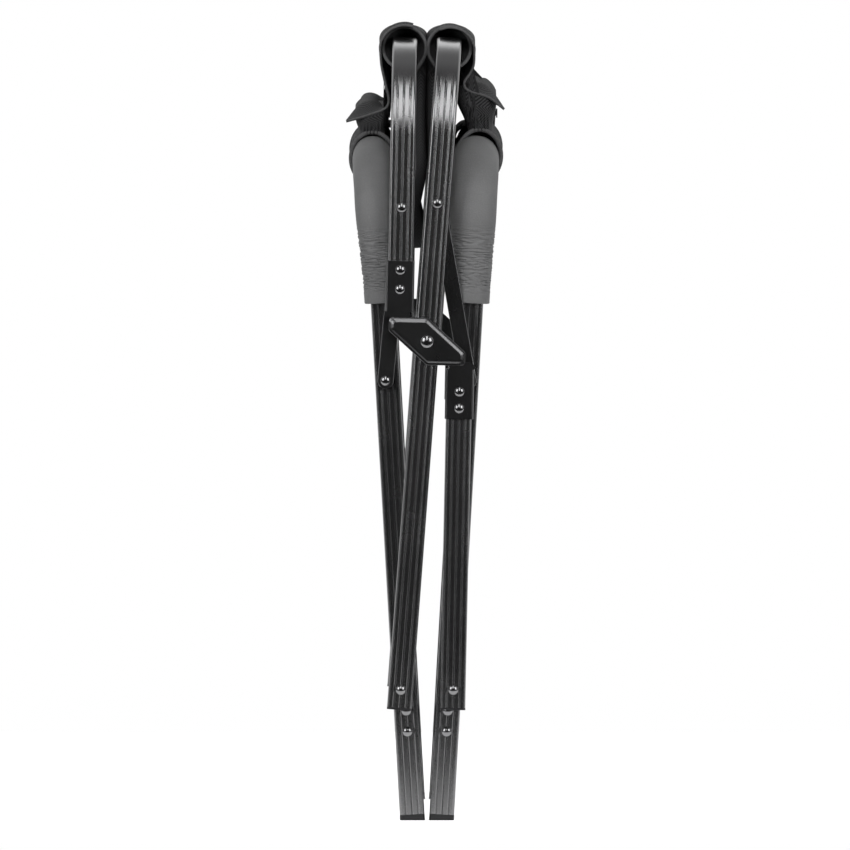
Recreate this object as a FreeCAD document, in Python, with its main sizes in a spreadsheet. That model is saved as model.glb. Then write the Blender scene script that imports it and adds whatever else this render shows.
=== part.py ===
import FreeCAD, Part
import math
import os

import Sketcher
from FreeCAD import Placement, Rotation, Vector

# A folding directors chair, modelled as it stands when folded.
# +Z is up, -Y is the front and +X is the right of someone who looks at the front.
# Two side frames, each an upside-down U of ribbed tube, carry the arms and stand on the floor.
# Between them two leg frames cross: a straight one, and one that is split at a stamped cross plate.
# Lengths are in millimetres and angles in degrees.

SIZES = (
    ("tube_width", 25.0),
    ("tube_depth", 14.0),
    ("tube_wall", 1.5),
    ("tube_corner", 1.8),
    ("groove_width", 2.2),
    ("groove_depth", 0.6),
    ("groove_pitch", 6.4),
    ("leg_plane", 225.0),
    ("side_plane", 199.0),
    ("rest_angle", 4.3),
    ("pivot_height", 132.0),
    ("pivot_radius", 350.0),
    ("rail_radius", 294.0),
    ("rail_bend", 85.0),
    ("leg_overrun", 18.0),
    ("split_lean", 1.2),
    ("side_lean", 3.25),
    ("foot_offset", 14.5),
    ("arm_height", 660.0),
    ("arm_bend", 60.0),
    ("foot_flange", 6.0),
    ("plug_flange", 2.0),
    ("plug_depth", 12.0),
    ("plug_clearance", 0.05),
    ("plate_half_width", 38.5),
    ("plate_half_height", 23.7),
    ("plate_point", 10.0),
    ("plate_thickness", 2.0),
    ("plate_rise", 2.0),
    ("plate_bevel", 1.6),
    ("neck_overlap", 3.7),
    ("channel_sheet", 1.6),
    ("channel_clearance", 0.2),
    ("channel_wrap", 12.0),
    ("upper_channel_low", 29.0),
    ("upper_channel_high", 80.0),
    ("upper_rivet_high", 71.0),
    ("upper_rivet_low", 51.6),
    ("lower_channel_high", 27.0),
    ("lower_channel_low", 77.0),
    ("lower_rivet_high", 49.7),
    ("lower_rivet_low", 66.3),
    ("rivet_shank", 2.5),
    ("rivet_head", 5.0),
    ("rivet_rise", 2.6),
    ("rivet_tail", 4.0),
    ("tail_rise", 1.2),
    ("flat_rise", 0.6),
    ("pivot_head", 7.0),
    ("running_clearance", 0.05),
    ("face_clearance", 0.1),
    ("spacer_radius", 9.0),
    ("spacer_clearance", 0.2),
    ("stretcher_height", 99.5),
    ("stretcher_tall", 32.0),
    ("stretcher_wide", 14.0),
    ("stretcher_rivets", 10.5),
    ("end_plate_wide", 23.0),
    ("end_plate_tall", 38.0),
    ("link_width", 16.0),
    ("link_thickness", 3.0),
    ("link_standoff", 8.0),
    ("link_low_x", 41.5),
    ("link_low_z", 441.0),
    ("link_high_split", 133.4),
    ("link_high_straight", 138.5),
    ("pad_half_width", 20.5),
    ("pad_low_half_width", 18.5),
    ("pad_proud", 5.5),
    ("pad_round", 11.0),
    ("pad_clearance", 0.2),
    ("pad_low", 520.0),
    ("pad_rear", 115.0),
    ("cloth", 2.4),
    ("cloth_gap", 0.3),
    ("rail_loop", 19.2),
    ("seat_half_depth", 175.0),
    ("seat_half_width", 232.0),
    ("seat_bow", 6.0),
    ("panel_front", 140.0),
    ("panel_rear", 112.0),
    ("panel_tip_out", 28.6),
    ("panel_tip_rise", 41.1),
    ("panel_bow", 5.0),
    ("panel_low_bow", 1.5),
    ("arm_loop", 21.5),
    ("post_rise", 37.0),
    ("post_pivot", 150.0),
    ("post_radius", 9.5),
    ("post_wall", 1.5),
    ("post_length", 190.0),
    ("post_tail", 15.0),
    ("cap_length", 3.0),
    ("cap_shank", 12.0),
    ("bracket_half_width", 15.1),
    ("bracket_sheet", 2.5),
    ("bracket_base", 3.0),
    ("bracket_front", 126.0),
    ("bracket_rear", 165.0),
    ("bracket_rise", 47.0),
    ("stop_depth", 12.0),
    ("stop_tall", 12.2),
    ("pin_radius", 3.0),
    ("pin_head", 5.0),
    ("pin_head_rise", 1.6),
    ("back_cloth", 1.5),
    ("pocket_clearance", 0.7),
    ("back_half_width", 301.2),
    ("back_centre", 4.0),
    ("back_fold_x", 26.0),
    ("back_fold_z", 11.9),
    ("back_bow", 4.0),
    ("back_hem_length", 28.0),
    ("back_top_length", 180.0),
)

doc = FreeCAD.newDocument("directors_chair")
sheet = doc.addObject("Spreadsheet::Sheet", "Sizes")
for row, (alias, size) in enumerate(SIZES, 1):
    sheet.set(f"A{row}", alias)
    sheet.set(f"B{row}", str(size))
    sheet.setAlias(f"B{row}", alias)
doc.recompute()

parts = []


def size(alias):
    return float(getattr(sheet, alias))


def number(expression):
    found = sheet.evalExpression(expression.replace("Sizes.", ""))
    return float(getattr(found, "Value", found))


def sine(degrees):
    return math.sin(math.radians(degrees))


def cosine(degrees):
    return math.cos(math.radians(degrees))


# Places that several pieces share, worked out from the driving sizes.
CROSS = Vector(0, 0, size("pivot_height") + size("pivot_radius") * cosine(size("rest_angle")))
LOW_PIVOT_X = size("pivot_radius") * sine(size("rest_angle"))
RAIL = Vector(
    size("rail_radius") * sine(size("rest_angle")),
    0,
    CROSS.z + size("rail_radius") * cosine(size("rest_angle")),
)


def in_side_frame(point, side):
    """A point of the chair's frame in the leaning frame of the left (-1) or right (1) side."""
    away = point - Vector(side * size("foot_offset"), 0, 0)
    return Rotation(Vector(0, 1, 0), -side * size("side_lean")).multVec(away)


def from_side_frame(point, side):
    """A point of a side's leaning frame in the chair's frame."""
    turned = Rotation(Vector(0, 1, 0), side * size("side_lean")).multVec(point)
    return turned + Vector(side * size("foot_offset"), 0, 0)


def in_split_frame(point):
    """A point of the chair's frame in the split frame's own frame, whose Z runs along its tubes."""
    return Rotation(Vector(0, 1, 0), -size("split_lean")).multVec(point - CROSS)


SPLIT_RAIL = in_split_frame(Vector(-RAIL.x, 0, RAIL.z))
SPLIT_PIVOT = in_split_frame(Vector(LOW_PIVOT_X, 0, size("pivot_height")))


def leaning(base, degrees):
    return Placement(base, Rotation(Vector(0, 1, 0), degrees))


def side_placement(side):
    return leaning(Vector(side * size("foot_offset"), 0, 0), side * size("side_lean"))


def straight_placement():
    return leaning(Vector(-LOW_PIVOT_X, 0, size("pivot_height")), size("rest_angle"))


def split_placement():
    return leaning(CROSS, size("split_lean"))


def keep(piece, label, placement=None):
    """Names a finished sub-part and puts it in its place."""
    piece.Label = label
    if placement is not None:
        piece.Placement = placement
    parts.append(piece)
    return piece


def new_sketch(body, name, role):
    sketch = body.newObject("Sketcher::SketchObject", name)
    planes = [plane for plane in body.Origin.OriginFeatures if plane.Role == role]
    sketch.AttachmentSupport = (planes[0], [""])
    sketch.MapMode = "FlatFace"
    return sketch


def bind(sketch, constraint, expression):
    place = sketch.addConstraint(constraint)
    sketch.setExpression(f"Constraints[{place}]", expression)


def hold(sketch, curve, end, across, up):
    """Binds one end of a sketch curve to two expressions, measured from the sketch's origin."""
    for kind, expression in (("DistanceX", across), ("DistanceY", up)):
        bind(sketch, Sketcher.Constraint(kind, -1, 1, curve, end, number(expression)), expression)


def draw_arc(sketch, start, end, radius, turn):
    """Adds an arc of under a half circle that turns left (1) or right (-1) on its way to end."""
    chord = end - start
    rise = radius - math.sqrt(radius * radius - chord.Length**2 / 4)
    outward = Vector(chord.y, -chord.x, 0).normalize()
    middle = (start + end) * 0.5 + outward * (rise * turn)
    if turn > 0:
        return sketch.addGeometry(Part.Arc(start, middle, end)), 1, 2
    return sketch.addGeometry(Part.Arc(end, middle, start)), 2, 1


def outline(sketch, start, steps, closed=True):
    """Lines (across, up) and arcs (across, up, radius, turn) through points given as expressions."""
    place = Vector(number(start[0]), number(start[1]), 0)
    if closed and steps[-1][:2] != start:
        steps = steps + [start]
    first = last = None
    for count, step in enumerate(steps, 1):
        goal = Vector(number(step[0]), number(step[1]), 0)
        if len(step) == 2:
            curve, begin, end = sketch.addGeometry(Part.LineSegment(place, goal)), 1, 2
        else:
            curve, begin, end = draw_arc(sketch, place, goal, number(step[2]), step[3])
        if first is None:
            first = (curve, begin)
            hold(sketch, curve, begin, *start)
        else:
            sketch.addConstraint(Sketcher.Constraint("Coincident", last[0], last[1], curve, begin))
        if closed and count == len(steps):
            sketch.addConstraint(Sketcher.Constraint("Coincident", curve, end, first[0], first[1]))
        else:
            hold(sketch, curve, end, step[0], step[1])
        if len(step) > 2:
            bind(sketch, Sketcher.Constraint("Radius", curve, number(step[2])), step[2])
        last = (curve, end)
        place = goal


def rectangle(sketch, left, bottom, right, top):
    outline(sketch, (left, bottom), [(right, bottom), (right, top), (left, top)])


def rounded(sketch, half, deep, corner):
    """A rectangle about the sketch's origin, each corner rounded by three flats."""
    points = []
    for start, right, top in ((0, 1, 1), (90, -1, 1), (180, -1, -1), (270, 1, -1)):
        for turn in range(start, start + 91, 30):
            across = f"{right} * ({half} - {corner}) + {corner} * cos({turn})"
            up = f"{top} * ({deep} - {corner}) + {corner} * sin({turn})"
            points.append((across, up))
    outline(sketch, points[0], points[1:])


def circle(sketch, across, up, radius):
    middle = Vector(number(across), number(up), 0)
    curve = sketch.addGeometry(Part.Circle(middle, Vector(0, 0, 1), number(radius)))
    hold(sketch, curve, 3, across, up)
    bind(sketch, Sketcher.Constraint("Radius", curve, number(radius)), radius)


def octagon(sketch, across, up, radius):
    """An eight-sided hole with flats at the top, bottom and sides; radius is to its corners."""
    corners = []
    for count in range(8):
        turn = 22.5 + 45 * count
        corners.append((f"{across} + ({radius}) * cos({turn})", f"{up} + ({radius}) * sin({turn})"))
    outline(sketch, corners[0], corners[1:])


def text(value):
    """A derived number as an expression."""
    return f"{value:.6f}"


def new_body(name):
    return doc.addObject("PartDesign::Body", name)


def pad(body, sketch, length, reverse=False, middle=False):
    feature = body.newObject("PartDesign::Pad", sketch.Name + "_pad")
    feature.Profile = sketch
    feature.setExpression("Length", length)
    feature.Reversed = reverse
    feature.Midplane = middle
    return feature


def pocket(body, sketch, length):
    """Cuts a sketch through the body, half of the length to each side of its plane."""
    doc.recompute()
    before = body.Tip.Shape.Volume
    feature = body.newObject("PartDesign::Pocket", sketch.Name + "_cut")
    feature.Profile = sketch
    feature.setExpression("Length", length)
    feature.Midplane = True
    doc.recompute()
    if not feature.Shape.Volume < before - 1e-6:
        raise ValueError(f"{body.Name}: {sketch.Name} cuts nothing")
    return feature


def tube_section(body, plane_offset, bottom):
    """A tube's outline, its corners eased by small flats."""
    sketch = new_sketch(body, body.Name + "_section", "XY_Plane")
    sketch.setExpression("AttachmentOffset.Base.y", plane_offset)
    sketch.setExpression("AttachmentOffset.Base.z", bottom)
    half, deep, corner = "Sizes.tube_width / 2", "Sizes.tube_depth / 2", "Sizes.tube_corner"
    steps = [
        (f"{half} - {corner}", f"-{deep}"),
        (half, f"-{deep} + {corner}"),
        (half, f"{deep} - {corner}"),
        (f"{half} - {corner}", deep),
        (f"-{half} + {corner}", deep),
        (f"-{half}", f"{deep} - {corner}"),
        (f"-{half}", f"-{deep} + {corner}"),
    ]
    outline(sketch, (f"-{half} + {corner}", f"-{deep}"), steps)
    return sketch


def close_section(sketch):
    """The bore of a tube, inside its section."""
    across = "Sizes.tube_width / 2 - Sizes.tube_wall"
    deep = "Sizes.tube_depth / 2 - Sizes.tube_wall"
    rectangle(sketch, f"-({across})", f"-({deep})", across, deep)


def groove(body, plane, low, high, faces=(-1, 1)):
    """Three grooves along the outer face of the legs; they run out where the bends begin."""
    for face in faces:
        sketch = new_sketch(body, body.Name + "_grooves", "XZ_Plane")
        sketch.setExpression("AttachmentOffset.Base.z", f"{-face} * ({plane} + Sizes.tube_depth / 2)")
        for place in (-1, 0, 1):
            left = f"{place} * Sizes.groove_pitch - Sizes.groove_width / 2"
            rectangle(sketch, left, low, f"{left} + Sizes.groove_width", high)
        pocket(body, sketch, "2 * Sizes.groove_depth")


def bent_tube(name, plane, bottom, top, bend):
    """An upside-down U of ribbed tube: front leg, bend, top rail, bend, rear leg."""
    body = new_body(name)
    spine = new_sketch(body, name + "_line", "YZ_Plane")
    outline(
        spine,
        (f"-{plane}", bottom),
        [
            (f"-{plane}", f"{top} - {bend}"),
            (f"-{plane} + {bend}", top, bend, -1),
            (f"{plane} - {bend}", top),
            (plane, f"{top} - {bend}", bend, -1),
            (plane, bottom),
        ],
        closed=False,
    )
    section = tube_section(body, f"-{plane}", bottom)
    close_section(section)
    doc.recompute()
    sweep = body.newObject("PartDesign::AdditivePipe", name + "_sweep")
    sweep.Profile = section
    sweep.Spine = (spine, [f"Edge{count}" for count in range(1, 6)])
    sweep.Mode = "Frenet"
    doc.recompute()
    groove(body, plane, f"{bottom} - 1", f"{top} - {bend}")
    return body


def drill(body, places):
    """Holes from front to back at (across, up, radius) given as expressions."""
    sketch = new_sketch(body, body.Name + "_holes", "XZ_Plane")
    for across, up, radius in places:
        octagon(sketch, across, up, radius)
    pocket(body, sketch, "4 * Sizes.leg_plane")


FIXED = "Sizes.rivet_shank"
RUNNING = "(Sizes.rivet_shank + Sizes.running_clearance) / cos(22.5)"


def eight_sided(low, low_radius, high, high_radius):
    """A prism or a frustum with eight sides along Y; the radii are to its corners."""
    wires = []
    for level, radius in ((low, low_radius), (high, high_radius)):
        corners = []
        for count in range(9):
            turn = 22.5 + 45 * count
            corners.append(Vector(radius * cosine(turn), level, radius * sine(turn)))
        wires.append(Part.makePolygon(corners))
    return Part.makeLoft(wires, True, True)


def rivet(across, up, head, tail, cap, rise, tail_cap=0.0):
    """One rivet along Y: a domed head outside |y| = head, a shank, and a button past |y| = tail.

    There are many of them, so each has eight sides, and the dome is two rings of flats."""
    shank = size("rivet_shank")
    waist = head + 0.6 * rise
    dome = [eight_sided(head, cap, waist, 0.8 * cap), eight_sided(waist, 0.8 * cap, head + rise, 0.4 * cap)]
    solid = eight_sided(tail, shank, head, shank).fuse(dome)
    if tail_cap:
        solid = solid.fuse(eight_sided(tail - size("tail_rise"), tail_cap, tail, tail_cap))
    solid = solid.removeSplitter()
    solid.translate(Vector(across, 0, up))
    return solid


def rivet_set(label, places, head, tail, cap, rise, placement, tail_cap=0.0):
    """The same rivets in the front frame and, mirrored, in the rear one."""
    solids = []
    for across, up in places:
        rear = rivet(across, up, head, tail, cap, rise, tail_cap)
        solids += [rear.mirror(Vector(0, 0, 0), Vector(0, 1, 0)), rear]
    piece = doc.addObject("Part::Feature", label)
    piece.Shape = Part.makeCompound(solids)
    return keep(piece, label, placement)


LEG_OUT = size("leg_plane") + size("tube_depth") / 2
LEG_IN = size("leg_plane") - size("tube_depth") / 2
SIDE_OUT = size("side_plane") + size("tube_depth") / 2
SIDE_IN = size("side_plane") - size("tube_depth") / 2


def side_word(side):
    return "left" if side < 0 else "right"


# The side frames: a bent tube, a padded arm, a low stretcher and feet.


def side_tube(side):
    name = side_word(side) + "_side_tube"
    body = bent_tube(name, "Sizes.side_plane", "Sizes.foot_flange", "Sizes.arm_height", "Sizes.arm_bend")
    low = in_side_frame(Vector(side * LOW_PIVOT_X, 0, size("pivot_height")), side)
    hinge = in_side_frame(link_ends(side)[0], side)
    places = [(text(low.x), text(low.z), FIXED), (text(hinge.x), text(hinge.z), FIXED)]
    for place in (-1, 1):
        places.append(("0", f"Sizes.stretcher_height + {place} * Sizes.stretcher_rivets", FIXED))
    drill(body, places)
    keep(body, name, side_placement(side))


def arm_pad(side):
    """A foam sleeve up the top of the front leg, round the bend and along the arm."""
    name = side_word(side) + "_arm_pad"
    body = new_body(name)
    deep = "(Sizes.tube_depth / 2 + Sizes.pad_proud)"
    sketches = []
    for level, half in (
        ("Sizes.pad_low", "Sizes.pad_low_half_width"),
        ("Sizes.arm_height - Sizes.arm_bend", "Sizes.pad_half_width"),
    ):
        sketch = new_sketch(body, name + "_round", "XY_Plane")
        sketch.setExpression("AttachmentOffset.Base.y", "-Sizes.side_plane")
        sketch.setExpression("AttachmentOffset.Base.z", level)
        rounded(sketch, half, deep, "Sizes.pad_round")
        sketches.append(sketch)
    doc.recompute()
    taper = body.newObject("PartDesign::AdditiveLoft", name + "_taper")
    taper.Profile = sketches[0]
    taper.Sections = [sketches[1]]
    doc.recompute()
    spine = new_sketch(body, name + "_line", "YZ_Plane")
    bend = "Sizes.arm_bend"
    route = [
        (f"-Sizes.side_plane + {bend}", "Sizes.arm_height", bend, -1),
        ("Sizes.pad_rear", "Sizes.arm_height"),
    ]
    outline(spine, ("-Sizes.side_plane", f"Sizes.arm_height - {bend}"), route, closed=False)
    doc.recompute()
    sweep = body.newObject("PartDesign::AdditivePipe", name + "_sweep")
    sweep.Profile = sketches[1]
    sweep.Spine = (spine, ["Edge1", "Edge2"])
    sweep.Mode = "Frenet"
    doc.recompute()
    bore = new_sketch(body, name + "_bore", "XY_Plane")
    bore.setExpression("AttachmentOffset.Base.y", "-Sizes.side_plane")
    bore.setExpression("AttachmentOffset.Base.z", "Sizes.pad_low - 1")
    across = "(Sizes.tube_width / 2 + Sizes.pad_clearance)"
    deep = "(Sizes.tube_depth / 2 + Sizes.pad_clearance)"
    rectangle(bore, f"-{across}", f"-{deep}", across, deep)
    route = new_sketch(body, name + "_bore_line", "YZ_Plane")
    steps = [
        ("-Sizes.side_plane", f"Sizes.arm_height - {bend}"),
        (f"-Sizes.side_plane + {bend}", "Sizes.arm_height", bend, -1),
        ("Sizes.pad_rear + 1", "Sizes.arm_height"),
    ]
    outline(route, ("-Sizes.side_plane", "Sizes.pad_low - 1"), steps, closed=False)
    doc.recompute()
    hollow = body.newObject("PartDesign::SubtractivePipe", name + "_hollow")
    hollow.Profile = bore
    hollow.Spine = (route, ["Edge1", "Edge2", "Edge3"])
    hollow.Mode = "Frenet"
    doc.recompute()
    keep(body, name, side_placement(side))


def stretcher(side):
    """A flat tube between the two legs, with a riveted plate at each end."""
    name = side_word(side) + "_stretcher"
    body = new_body(name)
    inside = "Sizes.side_plane - Sizes.tube_depth / 2"
    section = new_sketch(body, name + "_section", "XZ_Plane")
    for wall in ("0", "Sizes.tube_wall"):
        across = f"(Sizes.stretcher_wide / 2 - {wall})"
        tall = f"(Sizes.stretcher_tall / 2 - {wall})"
        middle = "Sizes.stretcher_height"
        rectangle(section, f"-{across}", f"{middle} - {tall}", across, f"{middle} + {tall}")
    pad(body, section, f"2 * ({inside}) - 2 * Sizes.plate_thickness", middle=True)
    for end in (-1, 1):
        plate = new_sketch(body, name + "_plate", "XZ_Plane")
        plate.setExpression("AttachmentOffset.Base.z", f"{end} * ({inside} - Sizes.plate_thickness / 2)")
        across, tall = "(Sizes.end_plate_wide / 2)", "(Sizes.end_plate_tall / 2)"
        middle = "Sizes.stretcher_height"
        rectangle(plate, f"-{across}", f"{middle} - {tall}", across, f"{middle} + {tall}")
        pad(body, plate, "Sizes.plate_thickness", middle=True)
    doc.recompute()
    places = [
        ("0", f"Sizes.stretcher_height + {place} * Sizes.stretcher_rivets", FIXED) for place in (-1, 1)
    ]
    drill(body, places)
    keep(body, name, side_placement(side))


def plug(across, plane, low, high, flange):
    """A plastic end plug: a flange as wide as the tube and a shank inside it."""
    half, deep = size("tube_width") / 2, size("tube_depth") / 2
    wall = size("tube_wall") + size("plug_clearance")
    cap = Part.makeBox(2 * half, 2 * deep, flange, Vector(across - half, plane - deep, low))
    corner = Vector(across - half + wall, plane - deep + wall, low + flange)
    shank = Part.makeBox(2 * (half - wall), 2 * (deep - wall), high, corner)
    uprights = [edge for edge in cap.Edges if abs(edge.tangentAt(edge.FirstParameter).z) > 0.9]
    return cap.makeChamfer(size("tube_corner"), uprights).fuse(shank).removeSplitter()


def plug_set(label, across, plane, low, flange, placement, floor=False):
    solids = []
    for face in (-1, 1):
        solid = plug(across, face * plane, low, size("plug_depth"), flange)
        solid.Placement = placement.multiply(solid.Placement)
        if floor:
            box = solid.BoundBox
            corner = Vector(box.XMin, box.YMin, box.ZMin)
            solid = solid.cut(Part.makeBox(box.XLength, box.YLength, -box.ZMin, corner))
        solids.append(solid)
    piece = doc.addObject("Part::Feature", label)
    piece.Shape = Part.makeCompound(solids)
    return keep(piece, label)


def feet(side):
    label = side_word(side) + "_foot_plugs"
    sunk = size("tube_width") / 2 * sine(size("side_lean"))
    flange = size("foot_flange") + sunk
    plug_set(label, 0, size("side_plane"), -sunk, flange, side_placement(side), floor=True)


def spacers(side):
    """Nylon washers that hold the leg frames and the links clear of the side frames."""
    label = side_word(side) + "_spacers"
    low = Vector(side * LOW_PIVOT_X, 0, size("pivot_height"))
    hinge = link_ends(side)[0]
    solids = []
    for middle, thick in (
        (low, LEG_IN - SIDE_OUT - size("spacer_clearance")),
        (hinge, size("link_standoff") - size("spacer_clearance")),
    ):
        radius, bore = size("spacer_radius"), size("rivet_shank") / cosine(22.5)
        washer = eight_sided(SIDE_OUT, radius, SIDE_OUT + thick, radius)
        washer = washer.cut(eight_sided(SIDE_OUT, bore, SIDE_OUT + thick, bore))
        washer.translate(middle)
        solids += [washer.mirror(Vector(0, 0, 0), Vector(0, 1, 0)), washer]
    piece = doc.addObject("Part::Feature", label)
    piece.Shape = Part.makeCompound(solids)
    keep(piece, label)


def side_rivets(side):
    word = side_word(side)
    cap, rise, tail = size("rivet_head"), size("rivet_rise"), size("rivet_tail")
    frame = side_placement(side)
    low = in_side_frame(Vector(side * LOW_PIVOT_X, 0, size("pivot_height")), side)
    outer = LEG_OUT + size("face_clearance")
    rivet_set(word + "_low_pivot_rivets", [(low.x, low.z)], outer, SIDE_IN, cap, rise, frame, tail)
    hinge = in_side_frame(link_ends(side)[0], side)
    outer = SIDE_OUT + size("link_standoff") + size("link_thickness") + size("face_clearance")
    # The right link's hinge lies behind a leg tube, so its rivets have flat heads.
    domed = rise if side < 0 else size("flat_rise")
    rivet_set(word + "_link_rivets", [(hinge.x, hinge.z)], outer, SIDE_IN, cap, domed, frame, tail)
    places = [(0, size("stretcher_height") + step * size("stretcher_rivets")) for step in (-1, 1)]
    inner = SIDE_IN - size("plate_thickness")
    rivet_set(word + "_stretcher_rivets", places, SIDE_OUT, inner, cap, rise, frame, tail)


def link(side, face):
    """A flat bar from the side frame up to a leg frame."""
    end = "front" if face < 0 else "rear"
    name = f"{side_word(side)}_{end}_link"
    low, high = link_ends(side)
    reach = high - low
    body = new_body(name)
    bar = new_sketch(body, name + "_bar", "XZ_Plane")
    middle = "(Sizes.side_plane + Sizes.tube_depth / 2 + Sizes.link_standoff + Sizes.link_thickness / 2)"
    bar.setExpression("AttachmentOffset.Base.z", f"{-face} * {middle}")
    half = "Sizes.link_width / 2"
    long = text(reach.Length)
    outline(
        bar,
        (f"-{half}", "0"),
        [
            (f"-{half} * cos(80)", f"-{half} * sin(80)", half, 1),
            (f"{half} * cos(80)", f"-{half} * sin(80)", half, 1),
            (half, "0", half, 1),
            (half, long),
            (f"{half} * cos(80)", f"{long} + {half} * sin(80)", half, 1),
            (f"-{half} * cos(80)", f"{long} + {half} * sin(80)", half, 1),
            (f"-{half}", long, half, 1),
        ],
    )
    for level in ("0", long):
        octagon(bar, "0", level, RUNNING)
    pad(body, bar, "Sizes.link_thickness", middle=True)
    doc.recompute()
    keep(body, name, leaning(low, math.degrees(math.atan2(reach.x, reach.z))))


def link_ends(side):
    low = Vector(side * size("link_low_x"), 0, size("link_low_z"))
    if side < 0:
        high = split_placement().multVec(Vector(SPLIT_RAIL.x, 0, size("link_high_split")))
    else:
        along = size("link_high_straight")
        high = CROSS + Vector(along * sine(size("rest_angle")), 0, along * cosine(size("rest_angle")))
    return low, high


# The straight leg frame.


def straight_frame():
    name = "straight_frame_tube"
    top = "Sizes.pivot_radius + Sizes.rail_radius"
    body = bent_tube(name, "Sizes.leg_plane", "-Sizes.leg_overrun", f"({top})", "Sizes.rail_bend")
    places = [
        ("0", "0", RUNNING),
        ("0", "Sizes.pivot_radius", RUNNING),
        ("0", "Sizes.pivot_radius + Sizes.link_high_straight", FIXED),
    ]
    drill(body, places)
    keep(body, name, straight_placement())
    high = size("pivot_radius") + size("link_high_straight")
    rivet_set(
        "straight_link_rivets",
        [(0, high)],
        LEG_OUT,
        LEG_IN,
        size("rivet_head"),
        size("rivet_rise"),
        straight_placement(),
    )
    plug_set(
        "straight_end_plugs",
        0,
        size("leg_plane"),
        -size("leg_overrun") - size("plug_flange"),
        size("plug_flange"),
        straight_placement(),
    )


# The split leg frame: an upper U, two lower legs, and a stamped plate at each crossing.


UPPER_RIVETS = ("Sizes.upper_rivet_high", "Sizes.upper_rivet_low")
LOWER_RIVETS = ("-Sizes.lower_rivet_high", "-Sizes.lower_rivet_low")


def split_tubes():
    name = "split_upper_tube"
    bottom = "(Sizes.upper_channel_low + Sizes.channel_sheet)"
    body = bent_tube(name, "Sizes.leg_plane", bottom, text(SPLIT_RAIL.z), "Sizes.rail_bend")
    places = [("0", height, FIXED) for height in ("Sizes.link_high_split",) + UPPER_RIVETS]
    drill(body, places)
    keep(body, name, split_placement().multiply(Placement(Vector(SPLIT_RAIL.x, 0, 0), Rotation())))
    low = SPLIT_PIVOT.z - size("leg_overrun")
    high = -size("lower_channel_high") - size("channel_sheet")
    for face, end in ((-1, "front"), (1, "rear")):
        name = f"split_lower_{end}_tube"
        body = new_body(name)
        section = tube_section(body, "-Sizes.leg_plane", text(low))
        close_section(section)
        pad(body, section, text(high - low))
        doc.recompute()
        groove(body, "Sizes.leg_plane", text(low - 1), text(high + 1), faces=(-1,))
        drill(body, [("0", text(SPLIT_PIVOT.z), RUNNING)] + [("0", height, FIXED) for height in LOWER_RIVETS])
        turn = Rotation(Vector(0, 0, 1), 0 if face < 0 else 180)
        keep(body, name, split_placement().multiply(Placement(Vector(SPLIT_PIVOT.x, 0, 0), turn)))
    flange = size("plug_flange")
    plug_set("split_end_plugs", SPLIT_PIVOT.x, size("leg_plane"), low - flange, flange, split_placement())


def cross_plate(face):
    """One stamping: a channel round each tube, and a raised six-sided plate between them."""
    end = "front" if face < 0 else "rear"
    name = f"{end}_cross_plate"
    body = new_body(name)
    skin = f"{-face} * (Sizes.leg_plane + Sizes.tube_depth / 2)"
    rear = face > 0
    side_sheet = "Sizes.channel_sheet"
    half = f"(Sizes.tube_width / 2 + Sizes.channel_clearance + {side_sheet})"
    tall = "Sizes.plate_half_height"
    neck = f"{tall} - Sizes.neck_overlap"
    for middle, low, high, web_low, web_high in (
        (
            text(SPLIT_RAIL.x),
            "Sizes.upper_channel_low",
            "Sizes.upper_channel_high",
            neck,
            "Sizes.upper_channel_high",
        ),
        (
            text(SPLIT_PIVOT.x),
            "-Sizes.lower_channel_low",
            "-Sizes.lower_channel_high",
            "-Sizes.lower_channel_low",
            f"-({neck})",
        ),
    ):
        web = new_sketch(body, name + "_web", "XZ_Plane")
        web.setExpression("AttachmentOffset.Base.z", skin)
        rectangle(web, f"{middle} - {half}", web_low, f"{middle} + {half}", web_high)
        pad(body, web, "Sizes.plate_thickness", reverse=rear)
        for left in (f"{middle} - {half}", f"{middle} + {half} - {side_sheet}"):
            wall = new_sketch(body, name + "_wall", "XZ_Plane")
            wall.setExpression("AttachmentOffset.Base.z", skin)
            rectangle(wall, left, low, f"{left} + {side_sheet}", high)
            pad(body, wall, "Sizes.channel_wrap", reverse=not rear)
    raised = new_sketch(body, name + "_raised", "XZ_Plane")
    raised.setExpression("AttachmentOffset.Base.z", f"{skin} + {-face} * Sizes.plate_thickness / 2")
    wide, point = "Sizes.plate_half_width", "Sizes.plate_point"
    outline(
        raised,
        (f"-{wide}", point),
        [("0", f"-{tall}"), (wide, f"-{tall}"), (wide, f"-{point}"), ("0", tall), (f"-{wide}", tall)],
    )
    plate = pad(body, raised, "Sizes.plate_thickness / 2 + Sizes.plate_rise", reverse=rear)
    doc.recompute()
    level = face * (LEG_OUT + size("plate_thickness") + size("plate_rise"))
    rim = []
    for count, edge in enumerate(plate.Shape.Edges, 1):
        if all(abs(vertex.Point.y - level) < 1e-4 for vertex in edge.Vertexes):
            rim.append(f"Edge{count}")
    bevel = body.newObject("PartDesign::Chamfer", name + "_bevel")
    bevel.Base = (plate, rim)
    bevel.setExpression("Size", "Sizes.plate_bevel")
    doc.recompute()
    places = [("0", "0", FIXED)]
    places += [(text(SPLIT_RAIL.x), height, FIXED) for height in UPPER_RIVETS]
    places += [(text(SPLIT_PIVOT.x), height, FIXED) for height in LOWER_RIVETS]
    drill(body, places)
    keep(body, name, split_placement())


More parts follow.
